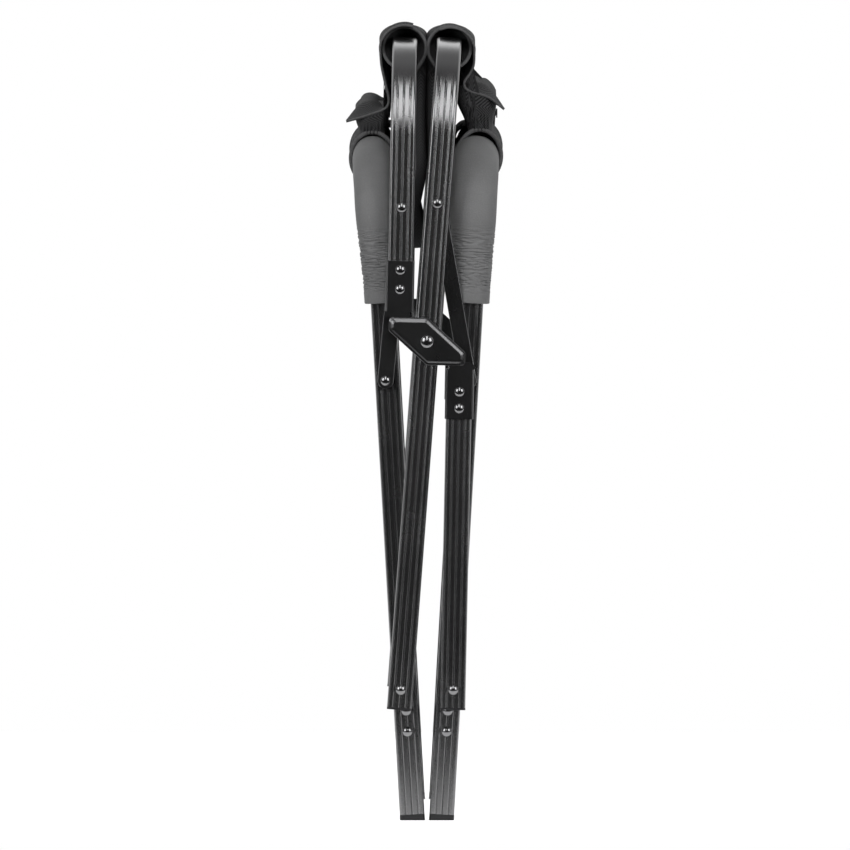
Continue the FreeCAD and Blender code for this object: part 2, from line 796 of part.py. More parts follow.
def split_rivets():
    cap, rise = size("rivet_head"), size("rivet_rise")
    frame = split_placement()
    places = [(SPLIT_RAIL.x, number(height)) for height in UPPER_RIVETS]
    places += [(SPLIT_PIVOT.x, number(height)) for height in LOWER_RIVETS]
    skin = LEG_OUT + size("plate_thickness")
    rivet_set("cross_plate_rivets", places, skin, LEG_IN, cap, rise, frame)
    crown = skin + size("plate_rise")
    rivet_set("cross_pivot_rivets", [(0, 0)], crown, LEG_IN, size("pivot_head"), rise, frame)
    high = [(SPLIT_RAIL.x, size("link_high_split"))]
    rivet_set("split_link_rivets", high, LEG_OUT, LEG_IN, cap, rise, frame)


# The cover: mesh cloth, folded as it hangs between the rails and arms.


def cloth_body(name, rear, front):
    """A body whose sketches lie across the chair and are padded from front to rear."""
    body = new_body(name)
    middle = f"(({rear}) - ({front})) / 2"
    length = f"({rear}) + ({front})"
    return body, middle, length


def cloth_pad(body, middle, length, draw):
    sketch = new_sketch(body, body.Name + "_profile", "XZ_Plane")
    sketch.setExpression("AttachmentOffset.Base.z", f"-({middle})")
    draw(sketch)
    pad(body, sketch, length, middle=True)
    doc.recompute()


def ring(sketch, inner, thick):
    circle(sketch, "0", "0", inner)
    circle(sketch, "0", "0", f"{inner} + {thick}")


def strip(sketch, side, near, far, bow, thick):
    """A thin strip of cloth from near to far in one slack S: it bows one way and then the other."""
    along = (far - near).normalize()
    across = Vector(along.y, -along.x, 0) * (thick / 2)
    waist = (near + far) * 0.5
    half = (waist - near).Length
    radius = text(half * half / (8 * bow) + bow / 2)
    there = [near - across, waist - across, far - across]
    back = [far + across, waist + across, near + across]
    points = [(text(corner.x), text(corner.y)) for corner in there + back]
    outline(
        sketch,
        points[0],
        [
            points[1] + (radius, side),
            points[2] + (radius, -side),
            points[3],
            points[4] + (radius, side),
            points[5] + (radius, -side),
        ],
    )


def seat_half(side):
    """Half of the seat: a loop round its rail, and a panel that hangs to the centre fold."""
    name = side_word(side) + "_seat_cloth"
    body, middle, length = cloth_body(name, "Sizes.seat_half_depth", "Sizes.seat_half_depth")
    cloth_pad(body, middle, length, lambda sketch: ring(sketch, "Sizes.rail_loop", "Sizes.cloth"))
    thick, loop = size("cloth"), size("rail_loop")
    tip_x = -side * (RAIL.x - thick / 2 - size("cloth_gap"))
    tip = Vector(tip_x, -math.sqrt(size("seat_half_width") ** 2 - tip_x**2), 0)
    start = tip * ((loop + thick / 2) / tip.Length)
    bow = size("seat_bow")
    cloth_pad(body, middle, length, lambda sketch: strip(sketch, side, start, tip, bow, thick))
    keep(body, name, Placement(Vector(side * RAIL.x, 0, RAIL.z), Rotation()))


# The half angle of the cuff about the rail, from its outer side.
CUFF = 80.0


def arm_axis(side):
    return from_side_frame(Vector(0, 0, size("arm_height")), side)


def panel_tip(side):
    return arm_axis(side) + Vector(side * size("panel_tip_out"), 0, size("panel_tip_rise"))


def flat(vector):
    return Vector(vector.x, vector.z, 0)


def upper_panel(side):
    """The side panel's upper flap: a cuff over the outer half of the rail loop, down to the fold."""
    name = side_word(side) + "_upper_panel"
    body, middle, length = cloth_body(name, "Sizes.panel_rear", "Sizes.panel_front")
    thick = size("cloth")
    near = size("rail_loop") + thick + size("cloth_gap")
    far = near + thick

    def cuff(sketch):
        ends = []
        for radius, level in ((far, 1), (far, -1), (near, -1), (near, 1)):
            ends.append((text(side * radius * cosine(CUFF)), text(level * radius * sine(CUFF))))
        steps = [ends[1] + (text(far), -side), ends[2], ends[3] + (text(near), side)]
        outline(sketch, ends[0], steps)

    cloth_pad(body, middle, length, cuff)
    rail = Vector(side * RAIL.x, 0, RAIL.z)
    span = flat(panel_tip(side) - rail)
    start = span * ((near + thick / 2) / span.Length)
    end = span * ((span.Length - thick / 2 - size("cloth_gap")) / span.Length)
    bow = size("panel_bow")
    cloth_pad(body, middle, length, lambda sketch: strip(sketch, side, start, end, bow, thick))
    keep(body, name, Placement(rail, Rotation()))


def lower_panel(side):
    """The side panel's lower flap: a loop round the padded arm, up to the fold."""
    name = side_word(side) + "_lower_panel"
    body, middle, length = cloth_body(name, "Sizes.panel_rear", "Sizes.panel_front")
    cloth_pad(body, middle, length, lambda sketch: ring(sketch, "Sizes.arm_loop", "Sizes.cloth"))
    thick = size("cloth")
    arm = arm_axis(side)
    span = flat(panel_tip(side) - arm)
    start = span * ((size("arm_loop") + thick / 2) / span.Length)
    end = span * ((span.Length - thick / 2 - size("cloth_gap")) / span.Length)
    bow = size("panel_low_bow")
    cloth_pad(body, middle, length, lambda sketch: strip(sketch, side, start, end, bow, thick))
    keep(body, name, Placement(arm, Rotation()))


# The back: a post on each arm, folded forward, and a cloth between the posts.


def post_axis(side):
    return from_side_frame(Vector(0, 0, size("arm_height") + size("post_rise")), side)


def back_bracket(side):
    """A channel on top of the arm, with a stop that the folded post lies on."""
    name = side_word(side) + "_back_bracket"
    body = new_body(name)
    half, wall = "Sizes.bracket_half_width", "Sizes.bracket_sheet"
    base = "Sizes.arm_height + Sizes.tube_depth / 2"
    floor = f"{base} + Sizes.bracket_base"
    high = "Sizes.arm_height + Sizes.bracket_rise"
    channel = new_sketch(body, name + "_channel", "XZ_Plane")
    channel.setExpression("AttachmentOffset.Base.z", "-(Sizes.bracket_front + Sizes.bracket_rear) / 2")
    outline(
        channel,
        (f"-{half}", base),
        [
            (half, base),
            (half, high),
            (f"{half} - {wall}", high),
            (f"{half} - {wall}", floor),
            (f"-{half} + {wall}", floor),
            (f"-{half} + {wall}", high),
            (f"-{half}", high),
        ],
    )
    pad(body, channel, "Sizes.bracket_rear - Sizes.bracket_front", middle=True)
    doc.recompute()
    stop = new_sketch(body, name + "_stop", "YZ_Plane")
    top = "Sizes.arm_height + Sizes.post_rise - Sizes.post_radius - Sizes.cloth_gap"
    front = "Sizes.bracket_front"
    rectangle(stop, front, f"{top} - Sizes.stop_tall", f"{front} + Sizes.stop_depth", top)
    pad(body, stop, f"2 * {half} - {wall}", middle=True)
    doc.recompute()
    hole = new_sketch(body, name + "_pin_hole", "YZ_Plane")
    hole.AttachmentOffset = Placement(Vector(), Rotation(Vector(1, 0, 0), -side * size("side_lean")))
    hole.setExpression("AttachmentOffset.Base.x", "Sizes.post_pivot")
    hole.setExpression("AttachmentOffset.Base.y", "Sizes.arm_height + Sizes.post_rise")
    octagon(hole, "0", "0", "Sizes.pin_radius")
    pocket(body, hole, f"4 * {half}")
    keep(body, name, side_placement(side))


def back_pin(side):
    """The pin across the bracket, with a head at each end."""
    label = side_word(side) + "_back_pin"
    axis = post_axis(side)
    lean = size("side_lean")
    half = size("bracket_half_width") / cosine(lean) + size("pin_head") * sine(lean) + size("face_clearance")
    radius, head, rise = size("pin_radius"), size("pin_head"), size("pin_head_rise")
    shape = eight_sided(-half, radius, half, radius)
    shape = shape.fuse([eight_sided(-half - rise, head, -half, head), eight_sided(half, head, half + rise, head)])
    shape = shape.removeSplitter()
    shape.rotate(Vector(0, 0, 0), Vector(0, 0, 1), -90)
    shape.translate(Vector(axis.x, size("post_pivot"), axis.z))
    piece = doc.addObject("Part::Feature", label)
    piece.Shape = shape
    keep(piece, label)


def back_post(side):
    name = side_word(side) + "_back_post"
    body = new_body(name)
    section = new_sketch(body, name + "_section", "XZ_Plane")
    section.setExpression("AttachmentOffset.Base.z", "-Sizes.post_pivot - Sizes.post_tail")
    circle(section, "0", "0", "Sizes.post_radius")
    circle(section, "0", "0", "Sizes.post_radius - Sizes.post_wall")
    pad(body, section, "Sizes.post_length + Sizes.post_tail")
    doc.recompute()
    hole = new_sketch(body, name + "_pin_hole", "YZ_Plane")
    octagon(hole, "Sizes.post_pivot", "0", "(Sizes.pin_radius + Sizes.running_clearance) / cos(22.5)")
    pocket(body, hole, "4 * Sizes.post_radius")
    axis = post_axis(side)
    keep(body, name, Placement(Vector(axis.x, 0, axis.z), Rotation()))
    label = side_word(side) + "_post_cap"
    front = Vector(axis.x, size("post_pivot") - size("post_length"), axis.z)
    bore = size("post_radius") - size("post_wall") - size("plug_clearance")
    shank = Part.makeCylinder(bore, size("cap_shank"), front, Vector(0, 1, 0))
    knob = Part.makeCylinder(size("post_radius"), size("cap_length"), front, Vector(0, -1, 0))
    piece = doc.addObject("Part::Feature", label)
    piece.Shape = knob.fuse(shank).removeSplitter()
    keep(piece, label)


def back_half(side):
    """Half of the back: a pocket round its post, and a panel that hangs inside the arm."""
    name = side_word(side) + "_back_cloth"
    rear = "Sizes.post_pivot - Sizes.back_hem_length"
    front = "Sizes.back_top_length - Sizes.post_pivot"
    body, middle, length = cloth_body(name, rear, front)
    pocket_size = "Sizes.post_radius + Sizes.pocket_clearance"
    cloth_pad(body, middle, length, lambda sketch: ring(sketch, pocket_size, "Sizes.back_cloth"))
    thick = size("back_cloth")
    fold = Vector(-side * size("back_fold_x"), -size("back_fold_z"), 0)
    start = fold * ((number(pocket_size) + thick / 2) / fold.Length)
    axis = post_axis(side)
    tip_x = -side * (abs(axis.x) - size("back_centre"))
    tip = Vector(tip_x, -math.sqrt(size("back_half_width") ** 2 - tip_x**2), 0)
    cloth_pad(body, middle, length, lambda sketch: strip(sketch, side, start, fold, thick / 4, thick))
    hem = fold - (tip - fold).normalize() * (thick / 2)
    bow = size("back_bow")
    cloth_pad(body, middle, length, lambda sketch: strip(sketch, side, hem, tip, bow, thick))
    keep(body, name, Placement(Vector(axis.x, 0, axis.z), Rotation()))


for side in (-1, 1):
    side_tube(side)
    arm_pad(side)
    stretcher(side)
    feet(side)
    spacers(side)
    side_rivets(side)
    for face in (-1, 1):
        link(side, face)
    seat_half(side)
    upper_panel(side)
    lower_panel(side)
    back_bracket(side)
    back_pin(side)
    back_post(side)
    back_half(side)
straight_frame()
split_tubes()
for face in (-1, 1):
    cross_plate(face)
split_rivets()

doc.recompute()
for thing in doc.Objects:
    if "Invalid" in thing.State or "Error" in thing.State:
        raise ValueError(f"{thing.Name}: {thing.State}")
for piece in parts:
    if piece.Shape.isNull() or not piece.Shape.isValid():
        raise ValueError(f"{piece.Label} has no valid shape")

os.makedirs("parts", exist_ok=True)
for piece in parts:
    piece.Shape.exportStep(os.path.join("parts", piece.Label + ".step"))
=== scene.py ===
import math

import bmesh
import bpy
from mathutils import Matrix, Vector, noise


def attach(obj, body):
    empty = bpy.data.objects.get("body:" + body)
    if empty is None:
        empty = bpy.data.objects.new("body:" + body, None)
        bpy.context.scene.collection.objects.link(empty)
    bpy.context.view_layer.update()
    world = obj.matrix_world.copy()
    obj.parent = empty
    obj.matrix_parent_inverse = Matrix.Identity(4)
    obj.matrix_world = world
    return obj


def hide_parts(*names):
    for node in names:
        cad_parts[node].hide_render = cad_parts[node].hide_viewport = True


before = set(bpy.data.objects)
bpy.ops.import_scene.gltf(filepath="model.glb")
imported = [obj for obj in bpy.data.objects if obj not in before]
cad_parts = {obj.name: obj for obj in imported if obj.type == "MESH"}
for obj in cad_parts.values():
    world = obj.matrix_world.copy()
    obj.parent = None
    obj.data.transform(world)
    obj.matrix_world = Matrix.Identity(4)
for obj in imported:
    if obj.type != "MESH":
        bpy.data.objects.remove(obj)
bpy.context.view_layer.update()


# The studio: a long lens in front and a little above, softboxes at both sides, high in front and behind,
# a white room whose front is dark and whose ceiling is grey in what the metal mirrors,
# and a white floor that keeps the chair's shadow.
aim = Vector((-0.002, -0.225, 0.397))
rise = math.radians(2.5)
distance = 38.0
view_width = 0.85
lens = bpy.data.cameras.new("photo_camera")
lens.sensor_width = 36.0
lens.lens = lens.sensor_width * distance / view_width
camera = bpy.data.objects.new("photo_camera", lens)
camera.location = aim + distance * Vector((0.0, -math.cos(rise), math.sin(rise)))
camera.rotation_euler = (math.pi / 2 - rise, 0.0, 0.0)
bpy.context.collection.objects.link(camera)
bpy.context.scene.camera = camera
bpy.context.scene.view_settings.view_transform = "Standard"
chair_middle = Vector((0.0, 0.0, 0.5))


def softbox(name, place, wide, tall, power):
    """A rectangular lamp that faces the middle of the chair; sizes in metres, power in watts."""
    lamp = bpy.data.lights.new(name, "AREA")
    lamp.shape = "RECTANGLE"
    lamp.size = wide
    lamp.size_y = tall
    lamp.energy = power
    box = bpy.data.objects.new(name, lamp)
    box.location = place
    towards = chair_middle - Vector(place)
    box.rotation_euler = towards.to_track_quat("-Z", "Y").to_euler()
    bpy.context.collection.objects.link(box)


softbox("left_softbox", (-1.9, -2.1, 1.5), 1.2, 1.8, 33.0)
softbox("right_softbox", (1.9, -2.1, 1.5), 1.2, 1.8, 33.0)
softbox("high_softbox", (0.0, -2.2, 2.4), 0.7, 2.4, 21.0)
softbox("rear_softbox", (0.0, 1.9, 2.4), 1.4, 1.0, 5.0)


class Flow:
    """A value on its way through a node tree; sums of values become Math nodes."""

    def __init__(self, nodes, socket):
        self.nodes = nodes
        self.socket = socket

    def math(self, operation, other=0.0, swapped=False):
        pair = (other, self) if swapped else (self, other)
        return self.nodes.node("ShaderNodeMath", {"operation": operation}, {0: pair[0], 1: pair[1]})

    def __add__(self, other):
        return self.math("ADD", other)

    def __radd__(self, other):
        return self.math("ADD", other, True)

    def __sub__(self, other):
        return self.math("SUBTRACT", other)

    def __rsub__(self, other):
        return self.math("SUBTRACT", other, True)

    def __mul__(self, other):
        return self.math("MULTIPLY", other)

    def __rmul__(self, other):
        return self.math("MULTIPLY", other, True)

    def __truediv__(self, other):
        return self.math("DIVIDE", other)

    def __rtruediv__(self, other):
        return self.math("DIVIDE", other, True)


class Nodes:
    """A node tree, and the one method that adds to it."""

    def __init__(self, tree):
        self.tree = tree
        tree.nodes.clear()

    def node(self, kind, settings=None, sockets=None, output=0):
        made = self.tree.nodes.new(kind)
        for name, value in (settings or {}).items():
            setattr(made, name, value)
        for name, value in (sockets or {}).items():
            if isinstance(value, Flow):
                self.tree.links.new(value.socket, made.inputs[name])
            else:
                made.inputs[name].default_value = value
        return Flow(self, made.outputs[output]) if made.outputs else None


def new_material(name):
    material = bpy.data.materials.new(name)
    material.use_nodes = True
    return material, Nodes(material.node_tree)


def close_material(nodes, sockets):
    """Ends a material in one principled shader."""
    shader = nodes.node("ShaderNodeBsdfPrincipled", {}, sockets)
    nodes.node("ShaderNodeOutputMaterial", {}, {"Surface": shader})


def between(nodes, share, low, high):
    """A colour from low to high. A Mix node has its colours at inputs 6 and 7 and at output 2."""
    return nodes.node("ShaderNodeMix", {"data_type": "RGBA"}, {0: share, 6: low, 7: high}, 2)


def ray(nodes, kind):
    return nodes.node("ShaderNodeLightPath", {}, {}, f"Is {kind} Ray")


def seen_rays(nodes):
    """The rays that see the background: the camera's, and those that metal and glass send on."""
    sent_on = ray(nodes, "Glossy").math("MAXIMUM", ray(nodes, "Transmission"))
    return ray(nodes, "Camera").math("MAXIMUM", sent_on)


room = bpy.data.worlds.new("white_room")
room.use_nodes = True
bpy.context.scene.world = room
sky = Nodes(room.node_tree)
heading = sky.node("ShaderNodeTexCoord", {}, {}, "Generated")


def mirrored_side(direction, start, width):
    """A mask that grows towards one side of the room, for every ray but the camera's."""
    facing = {0: heading, 1: direction}
    turned = sky.node("ShaderNodeVectorMath", {"operation": "DOT_PRODUCT"}, facing, "Value")
    return ((turned - start) / width).math("MAXIMUM", 0.0).math("MINIMUM", 1.0) * (1.0 - ray(sky, "Camera"))


def white_light(strength):
    return sky.node("ShaderNodeBackground", {}, {"Color": (1.0, 1.0, 1.0, 1.0), "Strength": strength})


def with_light(mask, light, other):
    """One light, and another where the mask is."""
    return sky.node("ShaderNodeMixShader", {}, {0: mask, 1: light, 2: other})


fill = 0.1
background = 1.0
ceiling_grey = 0.4
front_dark = 0.03
light = with_light(seen_rays(sky), white_light(fill), white_light(background))
light = with_light(mirrored_side((0.0, 0.0, 1.0), 0.7, 0.2), light, white_light(ceiling_grey))
light = with_light(mirrored_side((0.0, -1.0, 0.0), -0.1, 0.45), light, white_light(front_dark))
sky.node("ShaderNodeOutputWorld", {}, {"Surface": light})

paper, nodes = new_material("white_floor")
glow = between(nodes, seen_rays(nodes), (0.0, 0.0, 0.0, 1.0), (0.8, 0.8, 0.8, 1.0))
close_material(
    nodes,
    {"Base Color": (0.9, 0.9, 0.9, 1.0), "Roughness": 0.9, "Emission Color": glow, "Emission Strength": 1.0},
)
floor_half = 1.5
floor_front = -0.6
floor_corners = [
    (-floor_half, floor_front, 0.0),
    (floor_half, floor_front, 0.0),
    (floor_half, floor_half, 0.0),
    (-floor_half, floor_half, 0.0),
]
floor_mesh = bpy.data.meshes.new("floor")
floor_mesh.from_pydata(floor_corners, [], [(0, 1, 2, 3)])
floor_mesh.materials.append(paper)
floor = bpy.data.objects.new("floor", floor_mesh)
bpy.context.collection.objects.link(floor)


# The ribbed tubes: extruded aluminium with three grooves along the outer face, bent to an upside-down U.
# The bends are pressed smooth, so the ribs run out there and the outer face is a little hollow.
def mottle(nodes, place, scale, detail):
    """Noise from 0 to 1, with its scale per metre."""
    return nodes.node("ShaderNodeTexNoise", {}, {"Vector": place, "Scale": scale, "Detail": detail}, "Fac")


tube_finish, nodes = new_material("dark_tube")
place = nodes.node("ShaderNodeTexCoord", {}, {}, "Object")
cloud = mottle(nodes, place, 24.0, 2.0)
shade = between(nodes, cloud, (0.19, 0.19, 0.193, 1.0), (0.22, 0.22, 0.223, 1.0))
close_material(nodes, {"Base Color": shade, "Roughness": 0.22 + 0.08 * cloud, "Metallic": 1.0})


def leaning(angle, across, up):
    """The place of a frame that leans across the chair: degrees, then millimetres."""
    return Matrix.Translation((across, 0.0, up)) @ Matrix.Rotation(math.radians(angle), 4, "Y")


MM = 0.001
LOW_PIVOT_ACROSS = 26.24
LOW_PIVOT_UP = 132.0
CROSS_PIVOT_UP = 481.0
LEFT_SIDE = leaning(-3.25, -14.5, 0.0)
RIGHT_SIDE = leaning(3.25, 14.5, 0.0)
STRAIGHT = leaning(4.3, -LOW_PIVOT_ACROSS, LOW_PIVOT_UP)
SPLIT = leaning(1.2, 0.0, CROSS_PIVOT_UP)


def geometry_tree(name, inputs):
    """A geometry tree with named inputs; gives its nodes and the values of the inputs."""
    tree = bpy.data.node_groups.new(name, "GeometryNodeTree")
    tree.interface.new_socket("Geometry", in_out="INPUT", socket_type="NodeSocketGeometry")
    for label, kind in inputs:
        tree.interface.new_socket(label, in_out="INPUT", socket_type=kind)
    tree.interface.new_socket("Geometry", in_out="OUTPUT", socket_type="NodeSocketGeometry")
    made = Nodes(tree)
    entry = tree.nodes.new("NodeGroupInput")
    given = {socket.name: Flow(made, socket) for socket in entry.outputs if socket.name}
    return made, given


def close_tree(made, shape, material):
    """Ends a geometry tree as one smooth mesh with its material."""
    shape = made.node("GeometryNodeRealizeInstances", {}, {"Geometry": shape})
    shape = made.node("GeometryNodeSetShadeSmooth", {}, {"Geometry": shape})
    shape = made.node("GeometryNodeSetMaterial", {}, {"Geometry": shape, "Material": material})
    made.node("NodeGroupOutput", {}, {"Geometry": shape})


def run_tree(seed, made, values):
    """The plain mesh that a geometry tree makes of a seed mesh."""
    holder = bpy.data.objects.new("seed", seed)
    bpy.context.collection.objects.link(holder)
    modifier = holder.modifiers.new("tree", "NODES")
    modifier.node_group = made.tree
    for item in made.tree.interface.items_tree:
        if item.in_out == "INPUT" and item.name in values:
            modifier[item.identifier] = values[item.name]
    graph = bpy.context.evaluated_depsgraph_get()
    mesh = bpy.data.meshes.new_from_object(holder.evaluated_get(graph))
    bpy.data.objects.remove(holder)
    return mesh


def line_mesh(name, points, closed=False):
    mesh = bpy.data.meshes.new(name)
    edges = [(index, index + 1) for index in range(len(points) - 1)]
    if closed:
        edges.append((len(points) - 1, 0))
    mesh.from_pydata(points, edges, [])
    return mesh


def outward(mesh):
    """Turns every face out, and keeps real corners sharp."""
    shell = bmesh.new()
    shell.from_mesh(mesh)
    bmesh.ops.recalc_face_normals(shell, faces=shell.faces)
    shell.to_mesh(mesh)
    shell.free()
    mesh.shade_smooth()
    mesh.set_sharp_from_angle(angle=math.radians(40))


def install(name, mesh, material, body, slot, *replaced):
    """Puts a finished mesh in the chair: its finish, its body, and the solids it stands for."""
    mesh.materials.clear()
    mesh.materials.append(material)
    piece = bpy.data.objects.new(name, mesh)
    bpy.context.collection.objects.link(piece)
    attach(piece, body)
    if replaced:
        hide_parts(*replaced)
    return piece


def eased(low, high, value):
    """0 below low, 1 above high and a smooth step between."""
    share = min(max((value - low) / (high - low), 0.0), 1.0)
    return share * share * (3.0 - 2.0 * share)


HALF_DEEP = 7.0
CORNER = 3.0
FLAT = 9.5
GROOVES = (-6.3, 0.0, 6.3)
GROOVE_DEPTH = 0.9
GROOVE_HALF = 1.25


def corner_points(across, depth, start, steps):
    """Points on a rounded corner of the tube, in eighths of a quarter turn from the start in degrees."""
    points = []
    for step in steps:
        turn = math.radians(start - 90.0 * step / 8)
        points.append((across + CORNER * math.sin(turn), depth + CORNER * math.cos(turn), 0.0))
    return points


def ribbed_section():
    """Points (across, depth, 0) round a tube 25 by 14; the grooves are on the outer face."""
    points = []
    for index in range(77):
        across = -FLAT + 0.25 * index
        depth = -HALF_DEEP
        for groove in GROOVES:
            depth += GROOVE_DEPTH * max(0.0, 1.0 - abs(across - groove) / GROOVE_HALF)
        points.append((across, depth, 0.0))
    points += corner_points(FLAT, CORNER - HALF_DEEP, 180.0, range(1, 8))
    points += corner_points(FLAT, HALF_DEEP - CORNER, 90.0, range(1, 8))
    points.append((FLAT, HALF_DEEP, 0.0))
    points += corner_points(-FLAT, HALF_DEEP - CORNER, 0.0, range(8))
    points += corner_points(-FLAT, CORNER - HALF_DEEP, -90.0, range(8))
    return points


section_object = bpy.data.objects.new("tube_section", line_mesh("tube_section", ribbed_section(), True))
bpy.context.collection.objects.link(section_object)
tube_tree, given = geometry_tree(
    "ribbed_tube",
    (("Section", "NodeSocketObject"), ("Finish", "NodeSocketMaterial")),
)
path = tube_tree.node("GeometryNodeMeshToCurve", {}, {"Mesh": given["Geometry"]})
path = tube_tree.node(
    "GeometryNodeSetCurveNormal",
    {"mode": "FREE"},
    {"Curve": path, "Normal": (1.0, 0.0, 0.0)},
)
section = tube_tree.node("GeometryNodeObjectInfo", {}, {"Object": given["Section"]}, "Geometry")
section = tube_tree.node("GeometryNodeMeshToCurve", {}, {"Mesh": section})
swept = tube_tree.node(
    "GeometryNodeCurveToMesh",
    {},
    {"Curve": path, "Profile Curve": section, "Fill Caps": True},
)
close_tree(tube_tree, swept, given["Finish"])


def press_bends(mesh, across, reach, top, radius):
    """Runs the ribs out in the bends and hollows the outer face there."""
    face_depth = 5.0
    hollow_depth = 0.8
    for vertex in mesh.vertices:
        side = vertex.co.x - across
        out = abs(vertex.co.y) - (reach - radius)
        up = vertex.co.z - (top - radius)
        if abs(side) > FLAT + 0.01 or up <= 0.0:
            continue
        if out <= 0.0:
            if vertex.co.z > top + face_depth:
                vertex.co.z = top + HALF_DEEP
            continue
        far = math.hypot(out, up)
        depth = far - radius
        if depth < face_depth:
            continue
        turn = math.degrees(math.atan2(up, out))
        fade = eased(4.0, 46.0, turn)
        dip = hollow_depth * math.sin(math.radians(2.0 * turn)) * max(0.0, 1.0 - (side / FLAT) ** 2)
        scale = (radius + depth + fade * (HALF_DEEP - dip - depth)) / far
        vertex.co.y = math.copysign(reach - radius + out * scale, vertex.co.y)
        vertex.co.z = top - radius + up * scale


def install_tube(name, mesh, where, body):
    mesh.transform(Matrix.Scale(MM, 4) @ where)
    outward(mesh)
    install(name + "_ribbed", mesh, tube_finish, body, "tube", name)


def swept_tube(name, line):
    return run_tree(line_mesh(name, line), tube_tree, {"Section": section_object, "Finish": tube_finish})


def bent_tube(name, across, reach, low, top, radius, where, body):
    """Up the front leg, round a bend, along the rail, round the other bend and down the rear leg."""
    bend_depth = radius - reach
    bend_height = top - radius
    front = [(across, -reach, low + (bend_height - low) * share) for share in (0.0, 0.5, 0.96, 0.99)]
    for step in range(41):
        turn = math.radians(90.0 * step / 40)
        front.append((across, bend_depth - radius * math.cos(turn), bend_height + radius * math.sin(turn)))
    front.append((across, 0.9 * bend_depth, top))
    line = front + [(across, -y, z) for across, y, z in reversed(front)]
    mesh = swept_tube(name, line)
    press_bends(mesh, across, reach, top, radius)
    install_tube(name, mesh, where, body)


def straight_tube(name, line, where, body):
    install_tube(name, swept_tube(name, line), where, body)


LEG_REACH = 199.0
LEG_FOOT = 6.0
ARM_HEIGHT = 660.0
ARM_BEND = 60.0
FRAME_REACH = 225.0
RAIL_BEND = 85.0
STRAIGHT_FOOT = -18.0
STRAIGHT_TOP = 644.0
UPPER_ACROSS = -28.18
UPPER_FOOT = 30.6
UPPER_TOP = 292.64
LOWER_ACROSS = 33.54
LOWER_FOOT = -366.4
LOWER_TOP = -28.6
bent_tube("left_side_tube", 0.0, LEG_REACH, LEG_FOOT, ARM_HEIGHT, ARM_BEND, LEFT_SIDE, "side_left")
bent_tube("right_side_tube", 0.0, LEG_REACH, LEG_FOOT, ARM_HEIGHT, ARM_BEND, RIGHT_SIDE, "side_right")
bent_tube(
    "straight_frame_tube", 0.0, FRAME_REACH, STRAIGHT_FOOT, STRAIGHT_TOP, RAIL_BEND,
    STRAIGHT, "straight_frame",
)
bent_tube(
    "split_upper_tube", UPPER_ACROSS, FRAME_REACH, UPPER_FOOT, UPPER_TOP, RAIL_BEND,
    SPLIT, "split_frame",
)
low_front = [(LOWER_ACROSS, -FRAME_REACH, LOWER_FOOT), (LOWER_ACROSS, -FRAME_REACH, LOWER_TOP)]
low_rear = [(LOWER_ACROSS, FRAME_REACH, LOWER_TOP), (LOWER_ACROSS, FRAME_REACH, LOWER_FOOT)]
straight_tube("split_lower_front_tube", low_front, SPLIT, "split_frame")
straight_tube("split_lower_rear_tube", low_rear, SPLIT, "split_frame")
bpy.data.objects.remove(section_object)


# The plain metal and moulded pieces: stretchers, back brackets, pins and posts in satin black steel,
# foot and end plugs, spacers and post caps in black nylon. They are shown as the solids are.
steel_finish, nodes = new_material("satin_steel")
place = nodes.node("ShaderNodeTexCoord", {}, {}, "Object")
speck = mottle(nodes, place, 900.0, 4.0)
cloud = mottle(nodes, place, 30.0, 3.0)
shade = between(nodes, 0.5 * speck + 0.5 * cloud, (0.1, 0.1, 0.102, 1.0), (0.135, 0.135, 0.138, 1.0))
bump = nodes.node("ShaderNodeBump", {}, {"Height": speck, "Strength": 0.08, "Distance": 0.0004})
close_material(
    nodes,
    {"Base Color": shade, "Roughness": 0.24 + 0.1 * cloud, "Metallic": 1.0, "Normal": bump},
)
nylon_finish, nodes = new_material("black_nylon")
place = nodes.node("ShaderNodeTexCoord", {}, {}, "Object")
speck = mottle(nodes, place, 700.0, 4.0)
close_material(
    nodes,
    {
        "Base Color": (0.012, 0.012, 0.013, 1.0),
        "Roughness": 0.42 + 0.15 * speck,
        "Specular IOR Level": 0.4,
    },
)


def show_solid(node, material):
    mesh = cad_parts[node].data
    mesh.materials.clear()
    mesh.materials.append(material)


for side in ("left", "right"):
    for node in ("stretcher", "back_bracket", "back_pin", "back_post"):
        show_solid(f"{side}_{node}", steel_finish)
    for node in ("foot_plugs", "spacers", "post_cap"):
        show_solid(f"{side}_{node}", nylon_finish)
show_solid("straight_end_plugs", nylon_finish)
show_solid("split_end_plugs", nylon_finish)


# The links: flat steel bars with round ends and softened edges, front and rear.
# Each swings on a rivet in a side frame's leg and is riveted to a leg frame at its upper end.
def bar_rings(length, half_wide, front, rear):
    """Rings of points round a bar with round ends, from the rear face over soft edges to the front face."""
    rings = []
    towards = math.copysign(1.0, front)
    for level, inset in (
        (rear, 1.0),
        (rear, 0.5),
        (rear + 0.5 * towards, 0.0),
        (front - 0.7 * towards, 0.0),
        (front - 0.2 * towards, 0.25),
        (front, 0.8),
        (front, 1.2),
    ):
        ring = []
        for middle, start in ((length, 0.0), (0.0, 180.0)):
            for index in range(25):
                turn = math.radians(start + 7.5 * index)
                radius = half_wide - inset
                ring.append(Vector((radius * math.cos(turn), level, middle + radius * math.sin(turn))))
        rings.append(ring)
    return rings


